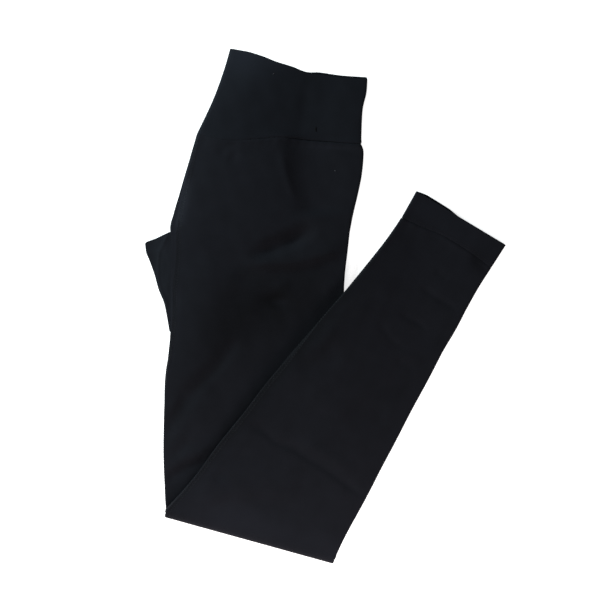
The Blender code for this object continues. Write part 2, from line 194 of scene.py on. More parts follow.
def curve(table: Table, value: Array) -> Array:
    """Smooth reading of a table.

    Args:
        table: (position, result) pairs whose positions rise.
        value: The positions to read it at.

    Returns:
        The results, level beyond the table's ends and without overshoot between its entries.
    """
    places, results = np.array(table, float).T
    steps = np.diff(places)
    rates = np.diff(results) / steps
    slopes = np.zeros(len(places))
    same_way = rates[:-1] * rates[1:] > 0.0
    gentle = 2.0 * rates[:-1] * rates[1:] / np.where(same_way, rates[:-1] + rates[1:], 1.0)
    slopes[1:-1] = np.where(same_way, gentle, 0.0)
    slopes[0], slopes[-1] = rates[0], rates[-1]
    value = np.clip(value, places[0], places[-1])
    first = np.clip(np.searchsorted(places, value) - 1, 0, len(places) - 2)
    share = (value - places[first]) / steps[first]
    rest = 1.0 - share
    return (
        (1.0 + 2.0 * share) * rest**2 * results[first]
        + share * rest**2 * steps[first] * slopes[first]
        + share**2 * (3.0 - 2.0 * share) * results[first + 1]
        - share**2 * rest * steps[first] * slopes[first + 1]
    )


def edge_of(rows: Iterable[Section], right: bool = False, by_x: bool = False) -> Table:
    """One edge of the sections as a table: x by y, or y by x."""
    pairs = ((row.right_x, row.right_y) if right else (row.left_x, row.left_y) for row in rows)
    return tuple(sorted(pair if by_x else pair[::-1] for pair in pairs))


# Creases


@dataclass(frozen=True)
class Crease:
    """A soft trough (depth below 0) or ridge (above 0) along a line on the floor plan.

    lean makes it wider on the left of its path and narrower on the right, and taper is the share of its
    length over which each end fades out.
    """

    path: Table
    width: float
    depth: float
    lean: float = 0.0
    taper: float = 0.3
    step: ClassVar[float] = 7.0
    side_blend: ClassVar[float] = 0.3

    def rounded_path(self) -> Array:
        """The path with its corners rounded, as (x, y) rows.

        Returns:
            Its points.
        """
        points = np.array(self.path, float)
        if len(points) == 2:
            return points
        travelled = travel(points)
        steps = evenly(0.0, travelled[-1], self.step)
        return np.column_stack([curve(tuple(zip(travelled, places)), steps) for places in points.T])

    def height(self, x: Array, y: Array) -> Array:
        """Height that it adds at places on the floor plan.

        Args:
            x: The places' x, in millimetres.
            y: Their y.

        Returns:
            The heights, in millimetres.
        """
        nearest = np.full(x.shape, np.inf)
        place = np.zeros(x.shape)
        side = np.zeros(x.shape)
        travelled = 0.0
        points = self.rounded_path()
        for start, end in zip(points, points[1:]):
            run_x, run_y = end - start
            length = math.hypot(run_x, run_y)
            from_x, from_y = x - start[0], y - start[1]
            share = np.clip((from_x * run_x + from_y * run_y) / length**2, 0.0, 1.0)
            off = np.hypot(from_x - share * run_x, from_y - share * run_y)
            closer = off < nearest
            nearest = np.where(closer, off, nearest)
            place = np.where(closer, travelled + share * length, place)
            cross = (run_x * from_y - run_y * from_x) / length / (self.side_blend * self.width)
            side = np.where(closer, np.clip(cross, -1.0, 1.0), side)
            travelled += length
        share = place / travelled
        fade = smoothstep(0.0, self.taper, share) * smoothstep(0.0, self.taper, 1.0 - share)
        return self.depth * fade * bell(nearest, self.width * (1.0 + self.lean * side))


@dataclass(frozen=True)
class Oval:
    """A soft oval on the floor plan, whose long axis has a bearing in degrees.

    In a relief it is a swell or, below 0, a hollow. As painted light and shade in the knit's colour, it is a
    patch of painted highlight that makes the cloth lighter by a share or, below 0, a patch of painted shadow
    that makes it darker.
    """

    x: float
    y: float
    reach: float
    breadth: float
    amount: float
    bearing: float = 0.0

    def height(self, x: Array, y: Array) -> Array:
        """Height that it adds at places on the floor plan.

        Args:
            x: The places' x, in millimetres.
            y: Their y.

        Returns:
            The heights, in millimetres.
        """
        turn = math.radians(self.bearing)
        ahead = (x - self.x) * math.cos(turn) + (y - self.y) * math.sin(turn)
        aside = (y - self.y) * math.cos(turn) - (x - self.x) * math.sin(turn)
        return self.amount * bell(ahead, self.reach) * bell(aside, self.breadth)

    def tone(self, nodes: "Nodes", place: "Field") -> "Field":
        """The same as a field of a shader, whose places are in metres, which paints light and shade into the
        colour.

        Args:
            nodes: The material's nodes.
            place: Places on the piece.

        Returns:
            The field.
        """
        inputs = {
            "Vector": place,
            "Location": (self.x * MM, self.y * MM, 0.0),
            "Rotation": (0.0, 0.0, math.radians(self.bearing)),
            "Scale": (self.reach * MM, self.breadth * MM, 1.0),
        }
        mapped = nodes.add("ShaderNodeMapping", {"vector_type": "TEXTURE"}, inputs)
        off = nodes.add("ShaderNodeVectorMath", {"operation": "LENGTH"}, {0: mapped}, "Value")
        return (off * off * -1.0).math("EXPONENT") * self.amount


@dataclass(frozen=True)
class Unevenness:
    """Slight waviness of cloth that lies loose, made of seeded waves."""

    seed: int
    amplitude: float
    shortest: float
    longest: float
    waves: int = 18

    def height(self, x: Array, y: Array) -> Array:
        """Height that it adds at places on the floor plan.

        Args:
            x: The places' x, in millimetres.
            y: Their y.

        Returns:
            The heights, in millimetres.
        """
        chance = np.random.default_rng(self.seed)
        total = np.zeros(np.shape(x))
        for _ in range(self.waves):
            bearing = chance.uniform(0.0, 2.0 * math.pi)
            length = math.exp(chance.uniform(math.log(self.shortest), math.log(self.longest)))
            phase = chance.uniform(0.0, 2.0 * math.pi)
            ahead = x * math.cos(bearing) + y * math.sin(bearing)
            total = total + np.sin(2.0 * math.pi * ahead / length + phase)
        return self.amplitude * total / math.sqrt(self.waves / 2.0)


@dataclass(frozen=True)
class Relief:
    """The creases, hollows and waviness of one face of the pile, within lowest and highest."""

    forms: tuple[Union[Crease, Oval], ...]
    details: tuple[Union[Crease, Oval], ...]
    unevenness: Unevenness
    lowest: float = -4.6
    highest: float = 3.0

    def height(self, x: Array, y: Array) -> Array:
        """Height over the plain pile: the broad forms meet smoothly, and the details lie on them.

        Args:
            x: The places' x, in millimetres.
            y: Their y.

        Returns:
            The heights, in millimetres.
        """
        troughs = np.zeros(np.shape(x))
        ridges = np.zeros(np.shape(x))
        for form in self.forms:
            height = form.height(x, y)
            troughs += np.abs(np.minimum(height, 0.0)) ** 3
            ridges += np.maximum(height, 0.0) ** 3
        total = np.cbrt(ridges) - np.cbrt(troughs)
        limit = np.where(total < 0.0, self.lowest, self.highest)
        total = limit * np.tanh(total / limit)
        return total + self.unevenness.height(x, y) + sum(form.height(x, y) for form in self.details)


THIGH_TOP = Relief(
    forms=(
        # waistband
        Crease(((-4, 250), (-11, 205), (-19, 170)), 34.0, -3.0, -0.2, 0.1),
        Oval(-122, 286, 60, 60, -3.0),
        # hip, below the waistband seam
        Crease(((-20, 184), (-17, 150), (-14, 126), (-9, 108), (-7, 90)), 27.0, -4.8, 0.3, 0.14),
        Crease(((-147, 140), (-152, 118), (-156, 98), (-161, 78)), 7.5, -3.4, 0.0, 0.3),
        Crease(((-2, 84), (-21, 74), (-36, 67), (-52, 60), (-68, 53), (-84, 47)), 9.0, -5.6, 0.0, 0.35),
        Oval(-80, 116, 62, 40, 2.4, 90),
        # ridges over and beside the hollow
        Crease(((-90, 41), (-66, 44), (-40, 44), (-18, 48), (2, 54), (28, 62)), 7.5, 3.3, 0.3, 0.25),
        Crease(
            ((-112, 56), (-119, 22), (-124, -5), (-131, -29), (-142, -63), (-159, -100)), 24.0, 2.8, 0.0, 0.2
        ),
        # the hollow beside the lower leg
        Oval(-16, -28, 74, 58, -6.6, 48),
        Crease(
            ((30, 10), (2, -16), (-28, -42), (-62, -68), (-96, -88), (-126, -106)), 20.0, -1.6, -0.2, 0.12
        ),
        # beside the lower leg, down to the knee
        Crease(((-66, -56), (-96, -79), (-125, -112), (-144, -136)), 19.0, 1.0, 0.0, 0.3),
        Crease(
            ((-84, -28), (-100, -50), (-118, -72), (-135, -88), (-150, -109), (-164, -130), (-178, -152)),
            9.0, -3.0, -0.2, 0.15,
        ),
    ),
    details=(
        Crease(((-13, 247), (-20, 220), (-23, 196), (-26, 173)), 7.0, -0.6, 0.2),
        Crease(((-46, 165), (-41, 139), (-36, 122), (-28, 106)), 4.0, 0.8),
        Crease(((-89, 172), (-101, 165), (-113, 156)), 5.0, -0.8),
        Crease(((-92, 163), (-99, 147)), 5.0, -0.7),
        Oval(-33, 68, 13, 7, -1.6, 25),
        Crease(((-104, 24), (-66, 31), (-34, 32), (-6, 39), (20, 49)), 9.0, -1.0, 0.0, 0.2),
        Oval(-51, 4, 15, 7.5, -2.2),
        Crease(((-54, 20), (-34, 22)), 5.0, 0.5),
        Crease(((-3, 14), (17, 27)), 5.0, 0.8),
        Crease(((-148, -90), (-158, -104), (-168, -122)), 6.0, 1.0),
        Crease(((-139, -139), (-144, -144), (-160, -162)), 6.0, -1.4),
        Crease(((-112, -143), (-124, -150), (-150, -161), (-168, -178)), 5.5, 1.1),
        Crease(((-120, -161), (-139, -169), (-168, -184)), 5.5, -1.9, 0.0, 0.2),
    ),
    unevenness=Unevenness(seed=11, amplitude=0.12, shortest=16.0, longest=70.0),
    lowest=-6.0,
    highest=3.6,
)
SHIN_TOP = Relief(
    forms=(
        Crease(((-139, -220), (-126, -206), (-112, -196), (-74, -190), (-20, -196)), 15.0, 2.8, 0.4, 0.2),
        Crease(((-34, -63), (-7, -60), (18, -46)), 11.0, -1.2),
        Crease(((22, -102), (43, -112), (70, -118)), 14.0, -0.8),
        Oval(-20, -115, 40, 24, -1.0, -52),
        Oval(60, 20, 30, 16, 0.7, 50),
    ),
    details=(
        Crease(
            (
                (-90, -122), (-64, -131), (-52, -142), (-36, -148),
                (-15, -161), (-2, -169), (24, -188), (46, -204),
            ),
            5.0, -1.9, 0.2, 0.16,
        ),
        Crease(((-30, -141), (6, -158), (34, -176)), 6.0, 0.9),
        Crease(((-116, -184), (-102, -171)), 6.0, -1.0),
        Crease(((13, -21), (-10, -50)), 6.0, 1.0),
        Crease(((57, -12), (59, -20), (64, -29), (77, -42), (92, -49)), 3.6, -0.6),
        Crease(((76, -8), (91, -15), (110, -27)), 3.4, -1.0),
        Crease(((95, 21), (110, 13), (120, 6), (143, -8)), 3.4, -0.9),
        Crease(((115, 37), (130, 25)), 3.6, -0.6),
        Crease(((72, -57), (97, -70)), 4.6, -0.6),
        Crease(((76, -47), (104, -61)), 5.0, 0.5),
        Crease(((152, 58), (163, 45), (176, 28)), 6.0, -1.0),
        Crease(((62, 55), (75, 70)), 6.0, -0.6),
    ),
    unevenness=Unevenness(seed=23, amplitude=0.12, shortest=16.0, longest=70.0),
    lowest=-3.6,
)
UNDERSIDE = Relief(
    forms=(
        Crease(((-120, 150), (-70, 120), (-20, 110)), 7.0, 1.0),
        Crease(((-150, 40), (-100, 18), (-60, 22), (-10, 4)), 6.0, 1.2),
        Crease(((-155, -70), (-110, -60), (-60, -84)), 7.0, 1.1),
        Crease(((-100, -150), (-60, -178), (-6, -190)), 6.0, 0.9),
        Crease(((40, -60), (70, -84)), 5.0, 0.9),
        Crease(((90, -4), (126, -20)), 5.0, 1.0),
        Crease(((104, 40), (140, 22), (158, 12)), 5.0, 0.9),
    ),
    details=(),
    unevenness=Unevenness(seed=5, amplitude=0.1, shortest=18.0, longest=60.0),
)


# The folded pile


class Stretch(Enum):
    """The three stretches of the folded leg."""

    THIGH = 0
    KNEE = 1
    SHIN = 2


def above_inseam(rows: Iterable[Section], x: Array, y: Array) -> Array:
    """Distance above the folded-up lower leg's inseam, square to it.

    Args:
        rows: The lower leg's sections.
        x: The places' x, in millimetres.
        y: Their y.

    Returns:
        The distances, below 0 under the lower leg.
    """
    inseam = edge_of(rows, by_x=True)
    bearing = math.atan2(inseam[-1][1] - inseam[0][1], inseam[-1][0] - inseam[0][0])
    return (y - curve(inseam, x)) * math.cos(bearing)


@dataclass(frozen=True)
class Pile:
    """Sizes of the folded pile, the same as the solids': four layers on the thigh and four more on top.

    Each pair gives the two distances between which something changes: the drape down from the thigh's side
    edge, the slack of the top beside it, the thinning of the lower leg over the thigh, the creases' depth
    from the knee fold, and how far the thigh's creases run in under the lower leg.
    """

    leg_ply: float = 4.0
    ply_gap: float = 0.4
    gusset_gap: float = 2.45
    knee_loop: float = 1.0
    rest_gap: float = 0.8
    knee_opening: float = 25.0
    knee_share: float = 0.35
    droop: float = 0.5
    margin: float = 42.0
    margin_drop: float = 3.4
    shin_margin: float = 22.0
    shin_margin_drop: float = 1.6
    under_power: int = 4
    drape: Pair = (7.0, 42.0)
    slack: Pair = (-30.0, 95.0)
    over_thigh: Pair = (-30.0, 10.0)
    knee_zone: Pair = (4.0, 30.0)
    cover: Pair = (-14.0, 4.0)

    @property
    def stack(self) -> float:
        """Height of the two flattened legs."""
        return 2.0 * self.leg_ply + self.ply_gap

    @property
    def knee_axis(self) -> float:
        """Height of the knee fold's axis."""
        return self.stack + self.knee_loop

    @property
    def knee_bend(self) -> float:
        """Radius of the knee fold at the middle of the stack."""
        return self.knee_loop + self.stack / 2.0

    def knee_outward(self) -> Pair:
        """Direction on the floor plan from the leg out past the knee fold.

        Returns:
            Its x and y.
        """
        last = THIGH_ROWS[-1]
        length = math.hypot(last.right_x - last.left_x, last.right_y - last.left_y)
        return (last.right_y - last.left_y) / length, (last.left_x - last.right_x) / length

    def from_knee(self, x: Array, y: Array) -> Array:
        """Distance from the knee fold."""
        out_x, out_y = self.knee_outward()
        return np.abs((x - THIGH_ROWS[-1].left_x) * out_x + (y - THIGH_ROWS[-1].left_y) * out_y)

    def knee_fade(self, x: Array, y: Array) -> Array:
        """0 at the knee fold, and 1 where the creases have their full depth."""
        return smoothstep(*self.knee_zone, self.from_knee(x, y))

    def past_thigh(self, x: Array, y: Array) -> Array:
        """Distance past the thigh's side edge, below 0 over the thigh."""
        return x - curve(edge_of(THIGH_ROWS, right=True), y)

    def thigh_relief(self, x: Array, y: Array) -> Array:
        """Creases of the thigh, which thins out towards its folded left edge.

        Args:
            x: The places' x, in millimetres.
            y: Their y.

        Returns:
            The heights, in millimetres.
        """
        edge = edge_of((*WAIST_ROWS, *THIGH_ROWS[1:]))
        inward = np.clip((x - curve(edge, y)) / self.margin, 0.0, 1.0)
        relief = THIGH_TOP.height(x, y) - self.margin_drop * (1.0 - inward) ** 2
        shown = smoothstep(*self.cover, above_inseam(SHIN_ROWS, x, y))
        return np.maximum(relief, THIGH_TOP.lowest) * shown * self.knee_fade(x, y)

    def shin_relief(self, x: Array, y: Array) -> Array:
        """Creases of the lower leg, which thins out towards its inseam.

        Args:
            x: The places' x, in millimetres.
            y: Their y.

        Returns:
            The heights, in millimetres.
        """
        below = -above_inseam((*SHIN_ROWS, HEM_ROWS[-1]), x, y)
        inward = np.clip(below / self.shin_margin, 0.0, 1.0)
        over_thigh = 1.0 - smoothstep(*self.over_thigh, self.past_thigh(x, y))
        margin = self.shin_margin_drop * (1.0 - inward) ** 2 * over_thigh
        return (SHIN_TOP.height(x, y) - margin) * mix(self.knee_share, 1.0, self.knee_fade(x, y))

    def under_relief(self, x: Array, y: Array, near: Array) -> Array:
        """Creases of the underside, for cloth whose nearness to it is 1 on it and 0 at the top."""
        creases = np.maximum(0.0, UNDERSIDE.height(x, y)) * near**self.under_power
        return creases * self.knee_fade(x, y)

    def shin_base(self, x: Array, y: Array) -> Array:
        """Height of the lower leg's underside: on the thigh, then draped down to the floor beside it.

        Args:
            x: The places' x, in millimetres.
            y: Their y.

        Returns:
            The heights, in millimetres.
        """
        opening = (2.0 * self.knee_loop - self.rest_gap) * bell(self.from_knee(x, y), self.knee_opening)
        relief = self.thigh_relief(x, y)
        on_thigh = self.stack + self.rest_gap + opening + np.maximum(self.droop * relief, relief)
        return on_thigh * (1.0 - smoothstep(*self.drape, self.past_thigh(x, y)))

    def shin_slack(self, x: Array, y: Array) -> Array:
        """How far the lower leg's top stands over its plain height, where it bridges the thigh's side."""
        past = self.past_thigh(x, y)
        return (self.stack + self.rest_gap) * (smoothstep(*self.drape, past) - smoothstep(*self.slack, past))


PILE = Pile()


@dataclass
class Stations:
    """Cross-sections of the folded pile, one to a row of the arrays.

    A place in one is (t, share, rise): t is the distance from its left edge, and the depth in the pile is
    share of its height plus rise. Depth 0 is the right leg's outer face.
    """

    values: Array
    stretch: Array
    turn: Array
    distance: Array

    @classmethod
    def along(cls, rows: tuple[Section, ...], stretch: Stretch, distances: Array) -> "Stations":
        """Stations on a smooth curve through the rows.

        Args:
            rows: The sections that the curve passes through.
            stretch: The stretch of the leg that they are on.
            distances: Distance of each station from the first row, along the leg.

        Returns:
            The stations.
        """
        table = np.array(rows, float)
        ends = cls.span_ends(rows)
        distances = np.clip(distances, 0.0, ends[-1])
        start = np.clip(np.searchsorted(ends, distances, side="right") - 1, 0, len(rows) - 2)
        u = ((distances - ends[start]) / (ends[start + 1] - ends[start]))[:, None]
        a = table[np.maximum(start - 1, 0)]
        b = table[start]
        c = table[start + 1]
        d = table[np.minimum(start + 2, len(rows) - 1)]
        values = b + 0.5 * u * (c - a + u * (2 * a - 5 * b + 4 * c - d + u * (3 * (b - c) + d - a)))
        values[:, STATE] = mix(b[:, STATE], c[:, STATE], u)
        count = len(distances)
        return cls(values, np.full(count, stretch.value), np.zeros(count), distances)

    @staticmethod
    def span_ends(rows: tuple[Section, ...]) -> Array:
        """Distance of each row from the first one: the mean of the two edges' chords.

        Args:
            rows: The sections.

        Returns:
            The distances, 0 at the first row.
        """
        edges = np.array(rows, float)[:, EDGES].reshape(-1, 2, 2)
        chords = np.linalg.norm(np.diff(edges, axis=0), axis=2)
        return np.concatenate([[0.0], np.cumsum(chords.mean(axis=1))])

    @classmethod
    def knee(cls, steps: int) -> "Stations":
        """Stations round the knee fold, without its two ends.

        Args:
            steps: How many steps the fold is turned in.

        Returns:
            The stations.
        """
        turns = math.pi * (np.arange(1, steps) / steps - 0.5)
        values = np.repeat(np.array([THIGH_ROWS[-1]], float), len(turns), axis=0)
        distance = PILE.knee_bend * (turns + math.pi / 2.0)
        return cls(values, np.full(len(turns), Stretch.KNEE.value), turns, distance)

    def followed_by(self, other: "Stations", gap: float = 0.0) -> "Stations":
        """These stations and then the others, whose distances run on from a gap after the last one here.

        Args:
            other: The others.
            gap: The gap.

        Returns:
            The stations.
        """
        onward = self.distance[-1] + gap
        return Stations(
            np.concatenate([self.values, other.values]),
            np.concatenate([self.stretch, other.stretch]),
            np.concatenate([self.turn, other.turn]),
            np.concatenate([self.distance, other.distance + onward]),
        )

    @property
    def edges(self) -> tuple[Array, Array]:
        """Left and right edge of each station, as (x, y) rows."""
        return tuple(np.split(self.values[:, EDGES], 2, axis=1))

    @property
    def width(self) -> Array:
        """Width of each station, as a column."""
        left, right = self.edges
        return np.hypot(*(right - left).T)[:, None]

    def state(self, name: str) -> Array:
        """A field of the sections that isn't a place, at each station, as a column."""
        return self.values[:, [Section._fields.index(name)]]

    def plan(self, t: Array, onward: Array) -> tuple[Array, Array]:
        """Floor plan places at t, moved onward along the leg, towards the ankle.

        Args:
            t: Distances from the left edge, one row to a station.
            onward: How far each place is moved.

        Returns:
            The places' x and y.
        """
        share = t / self.width
        dip = self.state("dip")
        onward = onward + np.where(dip > 0.0, dip * curve(SEAM_DIP, share), -dip * curve(HEM_DIP, share))
        forward = np.where(self.stretch[:, None] == Stretch.SHIN.value, -onward, onward)
        left, right = self.edges
        across_x, across_y = np.split((right - left) / self.width, 2, axis=1)
        left_x, left_y = np.split(left, 2, axis=1)
        return (
            left_x + across_x * t + across_y * forward,
            left_y + across_y * t - across_x * forward,
        )

    def place(self, t: Array, share: Array, rise: Array = 0.0, onward: Array = 0.0) -> Array:
        """Places (t, share, rise) in space.

        Args:
            t: Distances from the left edge, one row to a station.
            share: Shares of the pile's height.
            rise: Heights added to those shares.
            onward: How far each place is moved along the leg, towards the ankle.

        Returns:
            An array with one (x, y, z) to each place.
        """
        x, y = self.plan(t, onward)
        share = np.broadcast_to(share, x.shape)
        rise = np.broadcast_to(rise, x.shape)
        z = np.zeros(x.shape)
        thigh, knee, shin = (self.stretch == stretch.value for stretch in Stretch)
        if thigh.any():
            there = (x[thigh], y[thigh])
            height = PILE.stack + PILE.thigh_relief(*there)
            z[thigh] = share[thigh] * height + rise[thigh] + PILE.under_relief(*there, 1.0 - share[thigh])
        if shin.any():
            there = (x[shin], y[shin])
            height = PILE.stack + PILE.shin_relief(*there) + PILE.shin_slack(*there)
            depth = share[shin] * height + rise[shin]
            z[shin] = PILE.shin_base(*there) + height - depth + PILE.under_relief(*there, share[shin])
        if knee.any():
            radius = PILE.knee_axis - share[knee] * PILE.stack - rise[knee]
            turn = self.turn[knee][:, None]
            out_x, out_y = PILE.knee_outward()
            x[knee] += out_x * radius * np.cos(turn)
            y[knee] += out_y * radius * np.cos(turn)
            z[knee] = PILE.knee_axis + radius * np.sin(turn)
        return np.stack([x, y, z], axis=-1)


# Meshes


Rows = Union[Array, slice]
ALL_ROWS = slice(None)
NO_ROWS = slice(0)


def link(name: str, data: bpy.types.ID) -> Thing:
    """A new object in the scene.

    Args:
        name: Its name.
        data: Its mesh, light or camera.

    Returns:
        The object.
    """
    thing = bpy.data.objects.new(name, data)
    bpy.context.scene.collection.objects.link(thing)
    return thing


def quads(near: Array, far: Array) -> Array:
    """Faces between two arrays of vertex numbers, each from one number to the next along the second axis."""
    return np.stack([near[:, :-1], far[:, :-1], far[:, 1:], near[:, 1:]], axis=-1).reshape(-1, 4)


def make_object(name: str, points: Array, faces: Array, cut: Array) -> Thing:
    """A smooth mesh object.

    Args:
        name: Its name.
        points: Vertices in millimetres.
        faces: Four vertex numbers to a face.
        cut: The cut cloth's (across, along) in millimetres at each face corner.

    Returns:
        The object, linked to the scene.
    """
    data = bpy.data.meshes.new(name)
    data.from_pydata((points * MM).tolist(), [], faces.tolist())
    layer = data.uv_layers.new(name=CUT_MAP)
    layer.data.foreach_set("uv", (cut * MM).reshape(-1).astype(np.float32))
    data.shade_smooth()
    data.update()
    return link(name, data)


@dataclass
class ClothGrid:
    """A grid of points on cloth, in millimetres, with its place in the cut cloth.

    outward is 1 where the grid runs so that its normals point out of the cloth's face and -1 where they
    point in, and joined are the rows whose last column is their first one.
    """

    points: Array
    cut: Array
    outward: int
    joined: Rows

    @classmethod
    def laid(cls, points: Array, distance: Array, outward: int = -1, joined: Rows = ALL_ROWS) -> "ClothGrid":
        """A grid whose cut is measured across from its first column, and along by a distance for each row.

        Args:
            points: Its points.
            distance: The distance for each row.
            outward: 1 or -1, as above.
            joined: The joined rows.

        Returns:
            The grid.
        """
        across = travel(points, 1)
        along = np.broadcast_to(distance[:, None], across.shape)
        return cls(points, np.stack([across, along], axis=-1), outward, joined)

    def normals(self) -> Array:
        """Unit normals out of the cloth's face.

        Returns:
            A normal to each point.
        """
        across = np.gradient(self.points, axis=1)
        along = np.gradient(self.points, axis=0)
        return unit(np.cross(along, across)) * self.outward

    def lifted(self, height: Array) -> "ClothGrid":
        """The grid moved out from the cloth's face, kept above the floor and closed in its joined rows.

        Args:
            height: How far each point is moved.

        Returns:
            The moved grid.
        """
        points = self.points + self.normals() * height[..., None]
        points[..., 2] = np.maximum(points[..., 2], 0.0)
        points[self.joined, -1] = points[self.joined, 0]
        return replace(self, points=points)

    def sew(self, name: str, looped: bool = False) -> Thing:
        """A mesh object of the grid, whose last row is joined to the first one if it is looped.

        Args:
            name: Its name.
            looped: Whether the last row is joined to the first one.

        Returns:
            The object.
        """
        place = np.arange(self.points[..., 0].size).reshape(self.points.shape[:2])
        number = place.copy()
        number[self.joined, -1] = number[self.joined, 0]
        if looped:
            pairs = [(rows, np.roll(rows, -1, axis=0)) for rows in (number, place)]
        else:
            pairs = [(rows[:-1], rows[1:]) for rows in (number, place)]
        faces, corners = (quads(*pair)[:, :: self.outward] for pair in pairs)
        used, packed = np.unique(faces, return_inverse=True)
        points = self.points.reshape(-1, 3)[used]
        cut = self.cut.reshape(-1, 2)[corners.reshape(-1)]
        return make_object(name, points, packed.reshape(-1, 4), cut)


def thicken(thing: Thing, cloth: float) -> None:
    """Gives an open surface its cloth, on the side away from its normals.

    Args:
        thing: The surface.
        cloth: The cloth's thickness in millimetres.
    """
    solidify = thing.modifiers.new("cloth", "SOLIDIFY")
    solidify.thickness = cloth * MM
    solidify.offset = -1.0
    solidify.use_even_offset = False
    solidify.use_quality_normals = True


def spin_threads(name: str, paths: Array, up: Array, radius: float) -> Thing:
    """One object of many short threads.

    Args:
        name: Its name.
        paths: (thread, point, xyz) in millimetres, all with as many points.
        up: A direction at each point that isn't along the thread.
        radius: The threads' radius in millimetres; their ends are narrower.

    Returns:
        The object.
    """
    sides, end_girth = 5, 0.45
    along = unit(np.gradient(paths, axis=1))
    side = unit(np.cross(along, up))
    rise = np.cross(side, along)
    count, length = paths.shape[:2]
    girth = radius * np.array([end_girth, *[1.0] * (length - 2), end_girth])[None, :, None, None]
    angles = 2.0 * math.pi * np.arange(sides) / sides
    ring = np.cos(angles)[:, None] * side[:, :, None] + np.sin(angles)[:, None] * rise[:, :, None]
    points = (paths[:, :, None] + girth * ring).reshape(-1, 3)
    number = np.arange(len(points)).reshape(count, length, sides)
    faces = quads(number, np.roll(number, -1, axis=2))
    return make_object(name, points, faces, points[faces.reshape(-1)][:, :2])


# Finishes


class Field:
    """An output of a shader node, whose arithmetic adds Math nodes."""

    def __init__(self, nodes: "Nodes", node: bpy.types.Node, output: Union[str, int]) -> None:
        """Picks one of a node's outputs.

        Args:
            nodes: The node's tree.
            node: The node.
            output: The output's name or number.
        """
        self.nodes = nodes
        self.node = node
        self.output = output

    def math(self, operation: str, *others: Union["Field", float]) -> "Field":
        """Result of a Math node whose first value is this one."""
        return self.nodes.add("ShaderNodeMath", {"operation": operation}, dict(enumerate((self, *others))))

    def __add__(self, other: Union["Field", float]) -> "Field":
        """Sum."""
        return self.math("ADD", other)

    __radd__ = __add__

    def __sub__(self, other: Union["Field", float]) -> "Field":
        """Difference."""
        return self.math("SUBTRACT", other)

    def __rsub__(self, other: float) -> "Field":
        """Difference from a number."""
        return self.nodes.add("ShaderNodeMath", {"operation": "SUBTRACT"}, {0: other, 1: self})

    def __mul__(self, other: Union["Field", float]) -> "Field":
        """Product."""
        return self.math("MULTIPLY", other)

    __rmul__ = __mul__

    def wave(self) -> "Field":
        """A wave between 0 and 1, once for each whole number."""
        return (self * (2.0 * math.pi)).math("SINE") * 0.5 + 0.5


class Nodes:
    """The node tree of one material."""

    def __init__(self, material: bpy.types.Material) -> None:
        """Starts with an empty tree.

        Args:
            material: The material.
        """
        material.use_nodes = True
        self.tree = material.node_tree
        self.tree.nodes.clear()

    def add(self, kind: str, settings: dict, inputs: dict, output: Union[str, int] = 0) -> Field:
        """Adds a node.

        Args:
            kind: The node's type.
            settings: Its settings by name, set first.
            inputs: Values or fields for its inputs, by name or number.
            output: Name or number of the output wanted from it.

        Returns:
            That output.
        """
        node = self.tree.nodes.new(kind)
        for name, value in settings.items():
            setattr(node, name, value)
        for key, value in inputs.items():
            if isinstance(value, Field):
                self.tree.links.new(value.node.outputs[value.output], node.inputs[key])
            else:
                node.inputs[key].default_value = value
        return Field(self, node, output)

    def place(self) -> Field:
        """Places on the piece, in metres."""
        return self.add("ShaderNodeTexCoord", {}, {}, "Object")

    def split(self, vector: Field) -> tuple[Field, ...]:
        """X, Y and Z of a vector."""
        node = self.add("ShaderNodeSeparateXYZ", {}, {0: vector}).node
        return tuple(Field(self, node, axis) for axis in "XYZ")

    def noise(self, place: Field, scale: float, detail: float) -> Field:
        """Noise from 0 to 1."""
        return self.add("ShaderNodeTexNoise", {}, {"Vector": place, "Scale": scale, "Detail": detail})

    def shaded(self, colour: Colour, shade: Field) -> Field:
        """A colour made lighter or darker."""
        return self.add("ShaderNodeVectorMath", {"operation": "SCALE"}, {0: colour, "Scale": shade})

    def bump(self, strength: float, distance: float, height: Field) -> Field:
        """Normals of a fine relief, with its full depth in millimetres."""
        inputs = {"Strength": strength, "Distance": distance * MM, "Height": height}
        return self.add("ShaderNodeBump", {}, inputs)


@dataclass(frozen=True)
class Finish:
    """A finish, whose kinds say what their surface is made of."""

    name: str

    def surface(self, nodes: Nodes) -> dict:
        """Inputs of the Principled shader, by name."""
        raise NotImplementedError

    def material(self) -> bpy.types.Material:
        """A new material with the finish.

        Returns:
            The material.
        """
        material = bpy.data.materials.new(self.name)
        nodes = Nodes(material)
        shader = nodes.add("ShaderNodeBsdfPrincipled", {}, self.surface(nodes))
        nodes.add("ShaderNodeOutputMaterial", {}, {"Surface": shader})
        return material
